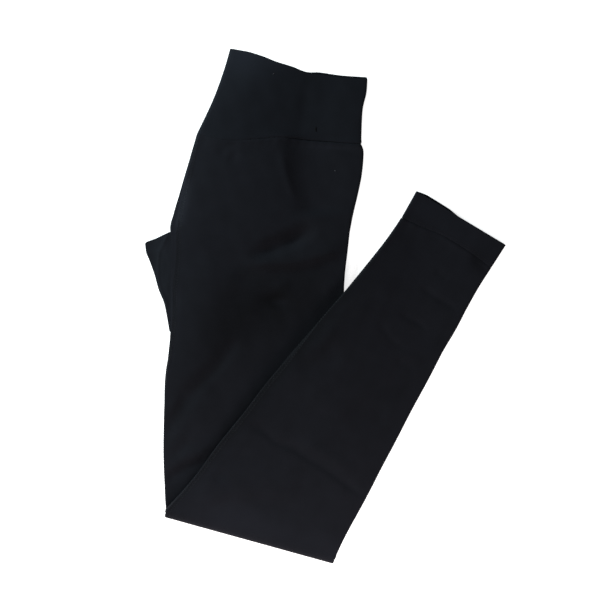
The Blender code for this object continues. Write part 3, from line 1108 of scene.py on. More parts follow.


# Painted light and shade in the knit's colour. Below 0 is painted shadow in the hollow beside the lower leg,
# in creases and along the lower leg's inner edge. Above 0 is painted highlight on the folded left edge, the
# waistband's top-left corner, below the waistband seam, at the knee fold and on the ankle hem.
PAINTED_LIGHT_AND_SHADE = (
    Oval(-56, 0, 76, 36, -0.52, 22),
    Oval(-51, 4, 16, 8, -0.2),
    Oval(-38, 72, 15, 5, -0.25, 15),
    Oval(-52, -76, 135, 8, -0.4, 50.5),
    Oval(35, -14, 24, 7, -0.1, 55),
    Oval(42, -100, 40, 24, -0.06),
    Oval(-30, 205, 34, 48, -0.06),
    Oval(-100, -222, 42, 22, 0.36, -15),
    Oval(24, -208, 50, 26, 0.12),
    Oval(-40, -240, 75, 15, 0.22, -15.5),
    Oval(6, -256, 20, 14, 0.2, -15.5),
    Oval(-128, -92, 34, 20, -0.12, 60),
    Oval(-85, 263, 42, 27, 0.85),
    Oval(-62, 140, 110, 90, 0.1, 90),
    Oval(12, 72, 36, 20, -0.1, 90),
    Oval(-34, 156, 24, 9, -0.14, 95),
    Oval(8, 165, 27, 2.6, 0.3, -3),
    Oval(-104, -30, 30, 18, -0.12, 50),
    Oval(-8, -44, 40, 17, -0.19, 50),
    Oval(-66, -122, 26, 16, -0.12, 50),
    Oval(-150, -112, 26, 14, -0.14, 55),
    Oval(-150, 106, 36, 5, 0.8, 82),
    Oval(-157, 2, 34, 6, 0.3, 90),
    Oval(-146, 120, 70, 24, 0.12, 84),
    Oval(120, 45, 70, 50, 0.1, 50),
    Oval(100, -62, 60, 10, -0.1, 52),
    Oval(146, 82, 60, 22, 0.16, -31),
    Oval(106, 98, 22, 14, 0.3, -31),
    Oval(161, 48, 11, 7, -0.3, 60),
)


@dataclass(frozen=True)
class KnitFinish(Finish):
    """Matt stretch knit: fine ribs of loops, slight mottling, painted light and shade and a soft bloom at
    grazing light.

    Each noise is its scale, its detail and how much it mottles the cloth. The painted light and shade fade in
    over shading_rise millimetres, from shading_start_share of them above the floor.
    """

    colour: Colour
    wale: float = 0.62
    course: float = 0.5
    loop_share: float = 0.4
    loop_height: float = 0.035
    broad_noise: tuple[float, float, float] = (60.0, 3.0, 0.4)
    fine_noise: tuple[float, float, float] = (900.0, 2.0, 0.3)
    groove_shade: float = 0.8
    loop_shade: float = 0.3
    shading_start_share: float = 0.4
    shading_rise: float = 3.0
    roughness: float = 0.86
    roughness_range: float = 0.1
    bump_strength: float = 0.55
    fuzz: float = 0.8
    specular: float = 0.07
    sheen: float = 0.03
    sheen_roughness: float = 0.5
    sheen_tint: tuple[float, float, float, float] = (0.5, 0.53, 0.6, 1.0)

    def surface(self, nodes: Nodes) -> dict:
        """Loops that follow the cut cloth, on mottled yarn.

        Args:
            nodes: The material's nodes.

        Returns:
            Inputs of the Principled shader, by name.
        """
        cut_across, cut_along, _ = nodes.split(nodes.add("ShaderNodeUVMap", {"uv_map": CUT_MAP}, {}))
        across = cut_across * (1.0 / (self.wale * MM))
        along = cut_along * (1.0 / (self.course * MM))
        leaf = (across.math("FRACT") - 0.5).math("ABSOLUTE") * 2.0
        rib = 1.0 - leaf * leaf
        knit = rib * (1.0 - self.loop_share) + rib * (along + leaf * 0.5).wave() * self.loop_share
        place = nodes.place()
        *broad_grain, broad_mottling = self.broad_noise
        *fine_grain, fine_mottling = self.fine_noise
        broad = nodes.noise(place, *broad_grain)
        fine = nodes.noise(place, *fine_grain)
        mottled = (broad - 0.5) * broad_mottling + (fine - 0.5) * fine_mottling + 1.0
        # scale of the colour: random mottling plus the painted light and shade, times the knit's loops
        shade = (mottled + self.painted_shading(nodes, place)) * (knit * self.loop_shade + self.groove_shade)
        return {
            "Base Color": nodes.shaded(self.colour, shade),
            "Roughness": (fine - 0.5) * self.roughness_range + self.roughness,
            "Specular IOR Level": self.specular,
            "Sheen Weight": self.sheen,
            "Sheen Roughness": self.sheen_roughness,
            "Sheen Tint": self.sheen_tint,
            "Normal": nodes.bump(self.bump_strength, self.loop_height, knit + fine * self.fuzz),
        }

    def painted_shading(self, nodes: Nodes, place: Field) -> Field:
        """Painted light and shade from the ovals, as a change of the colour, on faces that don't lie on the
        floor.

        Args:
            nodes: The material's nodes.
            place: Places on the piece.

        Returns:
            The change.
        """
        height = nodes.split(place)[-1] * (1.0 / (self.shading_rise * MM))
        clear = (height - self.shading_start_share).math("MAXIMUM", 0.0).math("MINIMUM", 1.0)
        return sum(shade.tone(nodes, place) for shade in PAINTED_LIGHT_AND_SHADE) * clear


@dataclass(frozen=True)
class ThreadFinish(Finish):
    """Textured polyester sewing thread, whose twist shows as fine slanting bands."""

    colour: Colour
    twist: float = 0.4
    twist_height: float = 0.03
    groove_shade: float = 0.85
    ply_shade: float = 0.3
    roughness: float = 0.7
    bump_strength: float = 0.4
    specular: float = 0.18

    def surface(self, nodes: Nodes) -> dict:
        """Twisted thread.

        Args:
            nodes: The material's nodes.

        Returns:
            Inputs of the Principled shader, by name.
        """
        across, along, _ = nodes.split(nodes.place())
        ply = ((across + along) * (1.0 / (self.twist * MM))).wave()
        return {
            "Base Color": nodes.shaded(self.colour, ply * self.ply_shade + self.groove_shade),
            "Roughness": self.roughness,
            "Specular IOR Level": self.specular,
            "Normal": nodes.bump(self.bump_strength, self.twist_height, ply),
        }


@dataclass(frozen=True)
class FloorFinish(Finish):
    """Plain white paper floor, which glows a little so that it reads as even white."""

    name: str = "white_floor"
    shade: float = 0.93
    roughness: float = 0.9
    specular: float = 0.1
    glow: float = 0.75

    def surface(self, nodes: Nodes) -> dict:
        """White paper.

        Args:
            nodes: The material's nodes.

        Returns:
            Inputs of the Principled shader, by name.
        """
        return {
            "Base Color": (self.shade, self.shade, self.shade, 1.0),
            "Roughness": self.roughness,
            "Specular IOR Level": self.specular,
            "Emission Color": (1.0, 1.0, 1.0, 1.0),
            "Emission Strength": self.glow,
        }


BLACK_KNIT = (0.0054, 0.0058, 0.0082)
# The waistband's black is tinted bluer and greener than the legs' as painted light, for the cool light over
# the waist.
BAND_BLACK_PAINTED_COOL = (0.0051, 0.0059, 0.0084)
# The gusset's black is lighter than the legs' as a painted highlight, for the light that its outer part
# catches.
GUSSET_BLACK_PAINTED_LIGHTER = (0.0066, 0.0075, 0.0103)
BLACK_THREAD = (0.0052, 0.0056, 0.0076)


def dress(thing: Thing, material: bpy.types.Material, slot: str, *replaced: str) -> Thing:
    """Gives a piece its material, rides it on the body, and hides the solids it replaces.

    Args:
        thing: The piece.
        material: Its material.
        slot: Its slot; not used.
        replaced: Nodes of the solids.

    Returns:
        The piece.
    """
    thing.data.materials.append(material)
    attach(thing, BODY)
    if replaced:
        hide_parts(*replaced)
    return thing


# Seams and pieces


@dataclass(frozen=True)
class FlatSeam:
    """A flat seam sewn with two needles: two low ridges with a groove between them.

    The track gives, for distances along the leg, how far from the folded left edge the seam lies on the
    outer face, and shown gives how strongly it shows there.
    """

    track: Table
    shown: Table
    ridge_out: float = 2.1
    ridge_width: float = 1.1
    ridge_height: float = 0.18
    groove_width: float = 0.9
    groove_depth: float = 0.26

    def lift(self, beside: Array, distance: Array) -> Array:
        """Height of the seam at distances from the folded edge, one row to a station.

        Args:
            beside: The distances from the folded edge.
            distance: Distance of each station along the leg.

        Returns:
            The heights, in millimetres.
        """
        off = beside - curve(self.track, distance)[:, None]
        ridges = bell(np.abs(off) - self.ridge_out, self.ridge_width) * self.ridge_height
        groove = bell(off, self.groove_width) * self.groove_depth
        return (ridges - groove) * curve(self.shown, distance)[:, None]


@dataclass(frozen=True)
class SeamRoll:
    """How cloth curls in at the seam along its edge, and swells beside it."""

    curl: float
    swell: float = 0.0
    curl_width: float = 1.3
    swell_out: float = 4.2
    swell_width: float = 2.4

    def height(self, off: Array) -> Array:
        """Height at distances from the seam."""
        beside = self.swell * bell(off - self.swell_out, self.swell_width)
        return beside - self.curl * bell(off, self.curl_width)


@dataclass(frozen=True)
class Stitching:
    """Coverstitch over a seam: two needle rows and, if it shows, the looper thread that zigzags between them.

    needle gives the shares of the pitch at which a needle row's stitches start and how long they are.
    """

    pitch: float = 2.8
    row_out: float = 2.1
    thread: float = 0.15
    needle: Pair = (0.12, 0.76)
    needle_proud: float = 0.08
    looper_proud: float = 0.04
    looper_lift: float = 0.1
    points: int = 4
    zigzag: bool = True

    def threads(self, start: float, end: float) -> list[tuple[Array, Array, Array]]:
        """The threads between two distances along the seam.

        Args:
            start: Distance at which they start.
            end: Distance at which they end.

        Returns:
            For each kind of thread its distances along and beside the seam and its height, a row to a stitch.
        """
        first = np.arange(start, end - self.pitch, self.pitch)[:, None]
        share = np.linspace(0.0, 1.0, self.points)
        arch = np.sin(math.pi * share)
        needle_start, needle_length = self.needle
        along = first + self.pitch * (needle_start + needle_length * share)
        lift = arch * self.needle_proud
        threads = [(along, np.full(along.shape, side * self.row_out), lift) for side in (-1.0, 1.0)]
        if self.zigzag:
            for side, half in ((-1.0, 0.0), (1.0, 0.5)):
                along = first + self.pitch * (half + 0.5 * share)
                beside = side * self.row_out * (1.0 - 2.0 * share)
                lift = arch * self.looper_proud + self.looper_lift
                threads.append((along, np.broadcast_to(beside, along.shape), lift))
        return threads


def read_grid(values: Array, rows: Array, columns: Array) -> Array:
    """Values of a grid at fractional rows and columns, between its four nearest points.

    Args:
        values: The grid, with one vector to a point.
        rows: The rows.
        columns: The columns.

    Returns:
        A vector for each place.
    """
    row = np.clip(np.floor(rows).astype(int), 0, values.shape[0] - 2)
    column = np.clip(np.floor(columns).astype(int), 0, values.shape[1] - 2)
    down = (rows - row)[..., None]
    over = (columns - column)[..., None]
    near = mix(values[row, column], values[row, column + 1], over)
    far = mix(values[row + 1, column], values[row + 1, column + 1], over)
    return mix(near, far, down)


@dataclass
class SewnFace:
    """The outer face of a piece, where stitches are placed by distance along and across it."""

    points: Array
    normals: Array
    distance: Array
    beside: Array

    def stitches(self, name: str, stitching: Stitching, track: Table, start: float, end: float) -> Thing:
        """Stitches along a track.

        Args:
            name: The object's name.
            stitching: Sizes of the stitches.
            track: (distance along, distance across) table that they follow.
            start: Distance along at which they start.
            end: Distance along at which they end.

        Returns:
            The object.
        """
        paths = []
        ups = []
        for along, across, lift in stitching.threads(start, end):
            row = np.interp(along, self.distance, np.arange(len(self.distance)))
            nearest = np.rint(row).astype(int)
            wanted = curve(track, along) + across
            column = np.zeros(along.shape)
            for index in np.ndindex(along.shape):
                beside = self.beside[nearest[index]]
                column[index] = np.interp(wanted[index], beside, np.arange(len(beside)))
            up = unit(read_grid(self.normals, row, column))
            path = read_grid(self.points, row, column) + up * lift[..., None]
            path[..., 2] = np.maximum(path[..., 2], stitching.thread)
            paths.append(path)
            ups.append(up)
        return spin_threads(name, np.concatenate(paths), np.concatenate(ups), stitching.thread)


class Side(Enum):
    """Which leg of the garment."""

    LEFT = "left"
    RIGHT = "right"


SEAMS = {
    Side.RIGHT: (
        # inseam
        FlatSeam(
            track=((100.0, -1.0), (320.0, -0.5), (395.0, 4.2), (600.0, 4.0), (650.0, 0.5), (740.0, -1.5)),
            shown=((92.0, 0.0), (102.0, 1.0), (790.0, 1.0)),
        ),
    ),
    Side.LEFT: (
        # centre front seam
        FlatSeam(
            track=((0.0, 3.0), (50.0, 8.0), (92.0, 10.5), (105.0, 11.0)),
            shown=((0.0, 0.6), (70.0, 1.0), (92.0, 1.0), (104.0, 0.0)),
            groove_depth=0.08,
            ridge_height=0.12,
        ),
        # inseam
        FlatSeam(
            track=(
                (100.0, 9.0), (135.0, 8.4), (165.0, 5.6), (190.0, 5.0),
                (222.0, 2.6), (300.0, -1.5), (790.0, -1.5),
            ),
            shown=((92.0, 0.0), (104.0, 1.0), (790.0, 1.0)),
            groove_depth=0.1,
            ridge_height=0.08,
        ),
    ),
}


@dataclass
class LegPanel:
    """One leg's panel, cut in one piece and sewn to a tube at the inseam, pressed flat.

    The left leg is on top on the thigh and underneath on the lower leg; the right leg is the other way
    round. Above the crotch the panel is open: its front edge is at the centre front and its back edge is
    hidden at the centre back. seam_rows are the stations next to the two seams, by their distance from
    them, and the rest are row_step apart.
    """

    side: Side
    cut: Pair = (0.38, 0.8)
    cut_area: float = 0.26
    cloth: float = 0.8
    seam_rows: tuple[float, ...] = (0.0, 0.5, 1.0, 1.6, 2.3, 3.1, 4.1, 5.3, 6.7, 8.4)
    past_seam: float = 10.4
    row_step: float = 2.4
    column_step: float = 2.6
    edge_column_step: float = 0.9
    edge_zone: float = 13.0
    arc_steps: int = 9
    side_steps: int = 8
    inner_columns: int = 18
    knee_steps: int = 14
    back_edge: float = 5.0
    closing: Pair = (4.0, 45.0)
    waves: tuple[float, float, float, int] = (0.45, 55.0, 160.0, 8)
    calm: float = 30.0
    waist_roll: SeamRoll = SeamRoll(0.7, 0.6)
    hem_roll: SeamRoll = SeamRoll(0.315, 0.18)
    puckers: tuple[float, float, float, int] = (0.12, 9.0, 22.0, 7)
    pucker_out: float = 4.0
    pucker_width: float = 6.0
    stitch_ends: Pair = (6.0, 4.0)
    wave_seeds: ClassVar[dict[Side, int]] = {Side.LEFT: 31, Side.RIGHT: 47}
    pucker_seeds: ClassVar[dict[Side, int]] = {Side.LEFT: 61, Side.RIGHT: 67}

    def stations(self) -> Stations:
        """Stations down the thigh, round the knee fold and up the lower leg, close together at seams.

        Returns:
            The stations.
        """
        thigh_end = Stations.span_ends(THIGH_ROWS)[-1]
        shin_end = Stations.span_ends(SHIN_ROWS)[-1]
        fine = np.array(self.seam_rows)
        thigh = np.concatenate([fine, evenly(self.past_seam, thigh_end, self.row_step)])
        even = evenly(0.0, shin_end - self.past_seam, self.row_step)
        shin = np.concatenate([even, (shin_end - fine)[::-1]])
        down = Stations.along(THIGH_ROWS, Stretch.THIGH, thigh)
        up = Stations.along(SHIN_ROWS, Stretch.SHIN, shin)
        round_knee = Stations.knee(self.knee_steps)
        return down.followed_by(round_knee).followed_by(up, PILE.knee_bend * math.pi / self.knee_steps)

    def outline(self, stations: Stations) -> tuple[Array, Array, Array]:
        """The panel's outer face across each station.

        Args:
            stations: The stations.

        Returns:
            t and share of each place, and its distance from the folded left edge on the outer face.
        """
        closed = stations.state("closed")
        gap = mix(PILE.ply_gap, PILE.gusset_gap, stations.state("parted"))
        ply = 0.5 - gap / 2.0 / PILE.stack
        radius = ply * PILE.stack / 2.0
        front = PILE.stack / 2.0
        half_turned = np.linspace(0.0, math.pi, self.arc_steps + 1)[None, :]
        turned = half_turned / 2.0
        arc_t = mix(radius * (1.0 - np.sin(half_turned)), front * (1.0 - np.cos(turned)), closed)
        arc_share = mix(ply * (1.0 + np.cos(half_turned)) / 2.0, 0.5 * (1.0 - np.sin(turned)), closed)
        arc_beside = mix(radius * (half_turned - math.pi / 2.0), front * turned, closed)

        side_ply = 0.5 - PILE.ply_gap / 2.0 / PILE.stack
        side_radius = side_ply * PILE.stack / 2.0
        flat_start = arc_t[:, -1:]
        flat_end = stations.width - side_radius
        widest = float((flat_end - flat_start).max())
        zone = np.arange(1, round(self.edge_zone / self.edge_column_step) + 1) * self.edge_column_step
        rest = np.linspace(0.0, 1.0, math.ceil((widest - self.edge_zone) / self.column_step) + 1)[None, 1:]
        near_edge = flat_start + zone[None, :]
        flat_t = np.concatenate([near_edge, mix(near_edge[:, -1:], flat_end, rest)], axis=1)

        side_turn = np.linspace(0.0, math.pi, self.side_steps + 1)[None, 1:]
        side_t = flat_end + side_radius * np.sin(side_turn)
        side_share = np.broadcast_to(side_ply * (1.0 - np.cos(side_turn)) / 2.0, side_t.shape)
        back = np.linspace(0.0, 1.0, self.inner_columns + 1)[None, 1:]
        inner_end = mix(arc_t[:, :1], self.back_edge, closed)
        inner_t = mix(flat_end, inner_end, back)
        inner_ply = mix(ply, side_ply, np.maximum(closed, smoothstep(*self.closing, inner_t - inner_end)))
        return (
            np.concatenate([arc_t, flat_t, side_t, inner_t], axis=1),
            np.concatenate([arc_share, np.zeros(flat_t.shape), side_share, inner_ply], axis=1),
            np.concatenate([arc_beside, arc_beside[:, -1:] + flat_t - flat_start], axis=1),
        )

    def wander(self, distance: Array, share: Array) -> Array:
        """How far places at shares of the width move, as the two folded edges aren't quite straight.

        Args:
            distance: Distance of each station along the leg.
            share: The shares.

        Returns:
            The moves, in millimetres.
        """
        seed = self.wave_seeds[self.side]
        left, right = (Unevenness(seed + edge, *self.waves).height(distance, 0.0)[:, None] for edge in (0, 1))
        calm = smoothstep(0.0, self.calm, distance) * smoothstep(0.0, self.calm, distance[-1] - distance)
        return mix(left, right, share) * calm[:, None]

    def seam_shape(self, distance: Array, across: Array, share: Array) -> Array:
        """How the cloth curls in at the waistband and hem seams, swells beside them and puckers.

        Args:
            distance: Distance of each station along the leg.
            across: Distance of each place from the left edge.
            share: The same, as a share of the width.

        Returns:
            The height that this adds to the cloth.
        """
        total = np.zeros(across.shape)
        ripple = Unevenness(self.pucker_seeds[self.side], *self.puckers).height(across, 0.0)
        for off, roll, shown in (
            (distance, self.waist_roll, curve(WAIST_SEAM, share)),
            (distance[-1] - distance, self.hem_roll, 1.0),
        ):
            off = off[:, None]
            total += shown * roll.height(off)
            total += ripple * bell(off - self.pucker_out, self.pucker_width)
        return total

    def build(self) -> Thing:
        """Builds the panel with its seams and stitching, and dresses it.

        Returns:
            The panel.
        """
        name = f"{self.side.value}_leg"
        on_top = self.side is Side.LEFT
        stations = self.stations()
        distance = stations.distance
        t, share, beside = self.outline(stations)
        t = t + self.wander(distance, t / stations.width)
        points = stations.place(t, 1.0 - share if on_top else share)
        lift = self.seam_shape(distance, t, t / stations.width)
        outer = beside.shape[1]
        lift[:, outer:] = 0.0
        for seam in SEAMS[self.side]:
            lift[:, :outer] += seam.lift(beside, distance)
        joined = stations.state("closed")[:, 0] < TINY
        grid = ClothGrid.laid(points, distance, 1 if on_top else -1, joined).lifted(lift)
        panel = grid.sew(f"{name}_cloth")
        thicken(panel, self.cloth)
        dress(panel, KnitFinish(f"{name}_knit", BLACK_KNIT).material(), name, name, "inner_layers")
        face = SewnFace(grid.points[:, :outer], grid.normals()[:, :outer], distance, beside)
        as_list(self.stitch(name, face))
        return panel

    def stitch(self, name: str, face: SewnFace) -> list[Thing]:
        """Sews the seams, and returns their threads.

        Args:
            name: Name of the leg.
            face: The panel's outer face.

        Returns:
            The threads.
        """
        thread = ThreadFinish(f"{name}_thread", BLACK_THREAD).material()
        after_start, before_end = self.stitch_ends
        sewn = []
        for index, seam in enumerate(SEAMS[self.side], 1):
            start = seam.shown[0][0] + after_start
            end = min(seam.shown[-1][0], face.distance[-1]) - before_end
            stitches = face.stitches(f"{name}_stitches_{index}", Stitching(), seam.track, start, end)
            sewn.append(dress(stitches, thread, name))
        return sewn


Column = tuple[Union[Array, float], float, float]


@dataclass
class Ring:
    """A closed band of doubled cloth round a flattened opening, folded at its free edge.

    seam_rows are its rows next to the seam, by their distance from it, the furthest first. The back layer
    has one row for every back_stride rows of the front, and raw_edge gives the depths of the rows that
    close its raw edge, as shares of the cloth.
    """

    cut: Pair
    cloth: float
    row_step: float
    columns: int
    edge_fade: float
    roll: SeamRoll
    past_seam: float
    seam_rows: tuple[float, ...]
    turn_steps: int = 8
    fold_steps: int = 4
    past_fold: float = 1.2
    back_stride: int = 3
    raw_edge: Pair = (0.75, 0.35)

    def rows(self, length: float) -> Array:
        """Distances of the rows from the folded edge, of a band that is length deep.

        Args:
            length: The depth.

        Returns:
            The distances.
        """
        fold = self.cloth / 2.0
        arc = fold * (1.0 - np.sin(np.linspace(math.pi / 2.0, 0.0, self.fold_steps + 1)))
        even = evenly(fold + self.past_fold, length - self.past_seam, self.row_step)
        return np.concatenate([arc, even, length - np.array(self.seam_rows)])

    def line(self, start: Array, end: Array, share: float, rise: float = 0.0) -> list[Column]:
        """Columns (t, share, rise) straight across, at one depth."""
        return [(mix(start, end, part), share, rise) for part in np.linspace(0.0, 1.0, self.columns + 1)]

    @staticmethod
    def half_turn(edge: Union[Array, float], start: Column, end: Column, steps: int) -> list[Column]:
        """Columns round a folded edge, between two depths. The left edge is at 0.

        Args:
            edge: Where the edge is.
            start: A column at the first depth.
            end: A column at the other.
            steps: Steps of the turn.

        Returns:
            The columns.
        """
        radius = abs((end[1] - start[1]) * PILE.stack + end[2] - start[2]) / 2.0
        inward = -1.0 if np.any(edge) else 1.0
        columns = []
        for turn in np.linspace(0.0, math.pi, steps + 1)[1:-1]:
            turned = (1.0 - math.cos(turn)) / 2.0
            t = edge + inward * radius * (1.0 - math.sin(turn))
            columns.append((t, mix(start[1], end[1], turned), mix(start[2], end[2], turned)))
        return columns

    @staticmethod
    def arrays(columns: list[Column], rows: int) -> tuple[Array, Array, Array]:
        """The columns as arrays of t, share and rise, one row to a station and joined into a loop.

        Args:
            columns: The columns.
            rows: How many stations there are.

        Returns:
            The three arrays.
        """
        t, share, rise = zip(*columns, columns[0])
        t = np.concatenate([np.broadcast_to(place, (rows, 1)) for place in t], axis=1)
        return t, np.tile(share, (rows, 1)), np.tile(rise, (rows, 1))

    def doubled(self, base: ClothGrid, order: Array) -> ClothGrid:
        """Turns an outer face into doubled cloth with rounded folds.

        Args:
            base: The outer face.
            order: Its rows' numbers, from the folded edge to the seam.

        Returns:
            The cloth's grid, whose last row joins the first.
        """
        last = len(order) - 1
        fold = self.cloth / 2.0
        turns = list(enumerate(np.linspace(0.0, math.pi / 2.0, self.fold_steps + 1)))
        profile = [(last, self.cloth * share) for share in self.raw_edge]
        profile += [(row, 0.0) for row in range(last, self.fold_steps, -1)]
        profile += [(self.fold_steps - step, fold * (1.0 - math.cos(turn))) for step, turn in turns]
        profile += [(step, fold * (1.0 + math.sin(turn))) for step, turn in turns[1:]]
        profile += [(row, self.cloth) for row in (*range(self.fold_steps + 1, last, self.back_stride), last)]
        rows, inset = (np.array(values) for values in zip(*profile))
        rows = order[rows]
        normals = base.normals()
        normals[:, 0] = normals[:, -1] = unit(normals[:, 0] + normals[:, -1])
        points = base.points[rows] - normals[rows] * inset[:, None, None]
        return ClothGrid.laid(points, travel(points[:, 0]))


@dataclass
class Waistband(Ring):
    """The wide waistband: one doubled ring of knit, folded over at the top.

    Flat, it runs along the right front, back along the right back, round the centre back and out and
    back again along the left back and the left front. Its layers leave a height over, shared by the gaps.
    """

    cut: Pair = (0.69, 0.097)
    cloth: float = 1.4
    row_step: float = 2.6
    columns: int = 56
    edge_fade: float = 26.0
    roll: SeamRoll = SeamRoll(0.75, 0.3, swell_out=4.4, swell_width=2.6)
    past_seam: float = 12.0
    seam_rows: tuple[float, ...] = (10.0, 8.2, 6.6, 5.2, 4.0, 3.0, 2.2, 1.5, 0.9, 0.4, 0.0)
    cut_area: float = 0.0516
    layers: int = 4
    gaps: int = 6
    back_steps: int = 4

    def ring(self, stations: Stations) -> tuple[ClothGrid, Array]:
        """The band's outer face, and each place's share of the width from the left edge.

        Args:
            stations: The band's stations.

        Returns:
            The face and the shares.
        """
        width = stations.width
        start = np.full(width.shape, PILE.stack / 2.0)
        end = width - PILE.leg_ply / 2.0
        back = (PILE.stack - self.layers * self.cloth) / self.gaps
        right_front = self.line(start, end, 0.0)
        right_back = self.line(end, start, 0.5, -back)
        left_back = self.line(start, end, 0.5, back)
        left_front = self.line(end, start, 1.0)
        centre_back = [
            (start - back * math.sin(turn), 0.5, -back * math.cos(turn))
            for turn in np.linspace(0.0, math.pi, self.back_steps + 1)[1:-1]
        ]
        columns = [
            *right_front, *self.half_turn(width, right_front[0], right_back[0], self.turn_steps),
            *right_back, *centre_back,
            *left_back, *self.half_turn(width, left_back[0], left_front[0], self.turn_steps),
            *left_front, *self.half_turn(0.0, left_front[0], right_front[0], 2 * self.turn_steps),
        ]
        t, share, rise = self.arrays(columns, len(width))
        across = t / width
        middle = np.abs(share + rise / PILE.stack - 0.5)
        backness = 1.0 - np.minimum(1.0, middle / (0.5 - back / PILE.stack))
        drop = curve(FRONT_DROP, across)
        onward = mix(drop, drop - curve(BACK_RISE, across), backness)
        onward = onward * (1.0 - stations.distance[:, None] / self.edge_fade).clip(0.0, 1.0)
        return ClothGrid.laid(stations.place(t, share, rise, onward), stations.distance), across

    def build(self) -> Thing:
        """Builds and dresses the waistband.

        Returns:
            The waistband.
        """
        length = Stations.span_ends(WAIST_ROWS)[-1]
        distance = self.rows(length)
        base, across = self.ring(Stations.along(WAIST_ROWS, Stretch.THIGH, distance))
        base = base.lifted(self.roll.height(length - distance)[:, None] * curve(WAIST_SEAM, across))
        band = self.doubled(base, np.arange(len(distance))).sew("waistband_cloth", looped=True)
        dress(band, KnitFinish("waistband_knit", BAND_BLACK_PAINTED_COOL).material(), "waistband", "waistband")
        return band


@dataclass
class AnkleHem(Ring):
    """A turned ankle hem: a ring of doubled cloth with two rows of stitches where it is sewn down."""

    cut: Pair = (0.222, 0.028)
    cloth: float = 1.5
    row_step: float = 2.4
    columns: int = 42
    edge_fade: float = 14.0
    roll: SeamRoll = SeamRoll(0.4)
    past_seam: float = 7.0
    seam_rows: tuple[float, ...] = (5.2, 4.0, 3.0, 2.2, 1.5, 0.9, 0.4, 0.0)
    side: Side = Side.RIGHT
    stitching: Stitching = Stitching(row_out=1.6, zigzag=False)
    stitches_in: float = 3.4
    straight_row: int = 4

    def ring(self, stations: Stations) -> ClothGrid:
        """The hem's outer face.

        Args:
            stations: The hem's stations.

        Returns:
            The face.
        """
        width = stations.width
        ply = PILE.leg_ply / PILE.stack
        near, far = (0.0, ply) if self.side is Side.RIGHT else (1.0 - ply, 1.0)
        start = np.full(width.shape, PILE.leg_ply / 2.0)
        end = width - PILE.leg_ply / 2.0
        out = self.line(start, end, near)
        home = self.line(end, start, far)
        columns = [
            *out, *self.half_turn(width, out[0], home[0], self.turn_steps),
            *home, *self.half_turn(0.0, home[0], out[0], self.turn_steps),
        ]
        t, share, rise = self.arrays(columns, len(width))
        peek = curve(HEM_PEEK, t / width) if self.side is Side.LEFT else 0.0
        length = stations.distance[-1]
        onward = peek * smoothstep(length - self.edge_fade, length, stations.distance)[:, None]
        return ClothGrid.laid(stations.place(t, share, rise, onward), stations.distance)

    def build(self) -> Thing:
        """Builds and dresses the hem.

        Returns:
            The hem.
        """
        name = f"{self.side.value}_ankle_hem"
        length = Stations.span_ends(HEM_ROWS)[-1]
        distance = (length - self.rows(length))[::-1]
        base = self.ring(Stations.along(HEM_ROWS, Stretch.SHIN, distance))
        base = base.lifted(np.repeat(self.roll.height(distance)[:, None], base.points.shape[1], axis=1))
        hem = self.doubled(base, np.arange(len(distance))[::-1]).sew(f"{name}_cloth", looped=True)
        dress(hem, KnitFinish(f"{name}_knit", BLACK_KNIT).material(), name, name)
        threads = self.stitch(name, base, distance)
        return hem

    def stitch(self, name: str, base: ClothGrid, distance: Array) -> Thing:
        """Two rows of stitches round the hem, near its upper edge.

        Args:
            name: Name of the hem.
            base: Its outer face.
            distance: Distance of each row from its upper edge.

        Returns:
            The threads.
        """
        points = np.swapaxes(base.points, 0, 1)
        normals = np.swapaxes(base.normals(), 0, 1)
        round_hem = travel(points[:, self.straight_row])
        beside = np.broadcast_to(distance, (len(round_hem), len(distance)))
        track = ((0.0, self.stitches_in), (round_hem[-1], self.stitches_in))
        face = SewnFace(points, normals, round_hem, beside)
        threads = face.stitches(f"{name}_stitches", self.stitching, track, 0.0, round_hem[-1])
        return dress(threads, ThreadFinish(f"{name}_thread", BLACK_THREAD).material(), name)


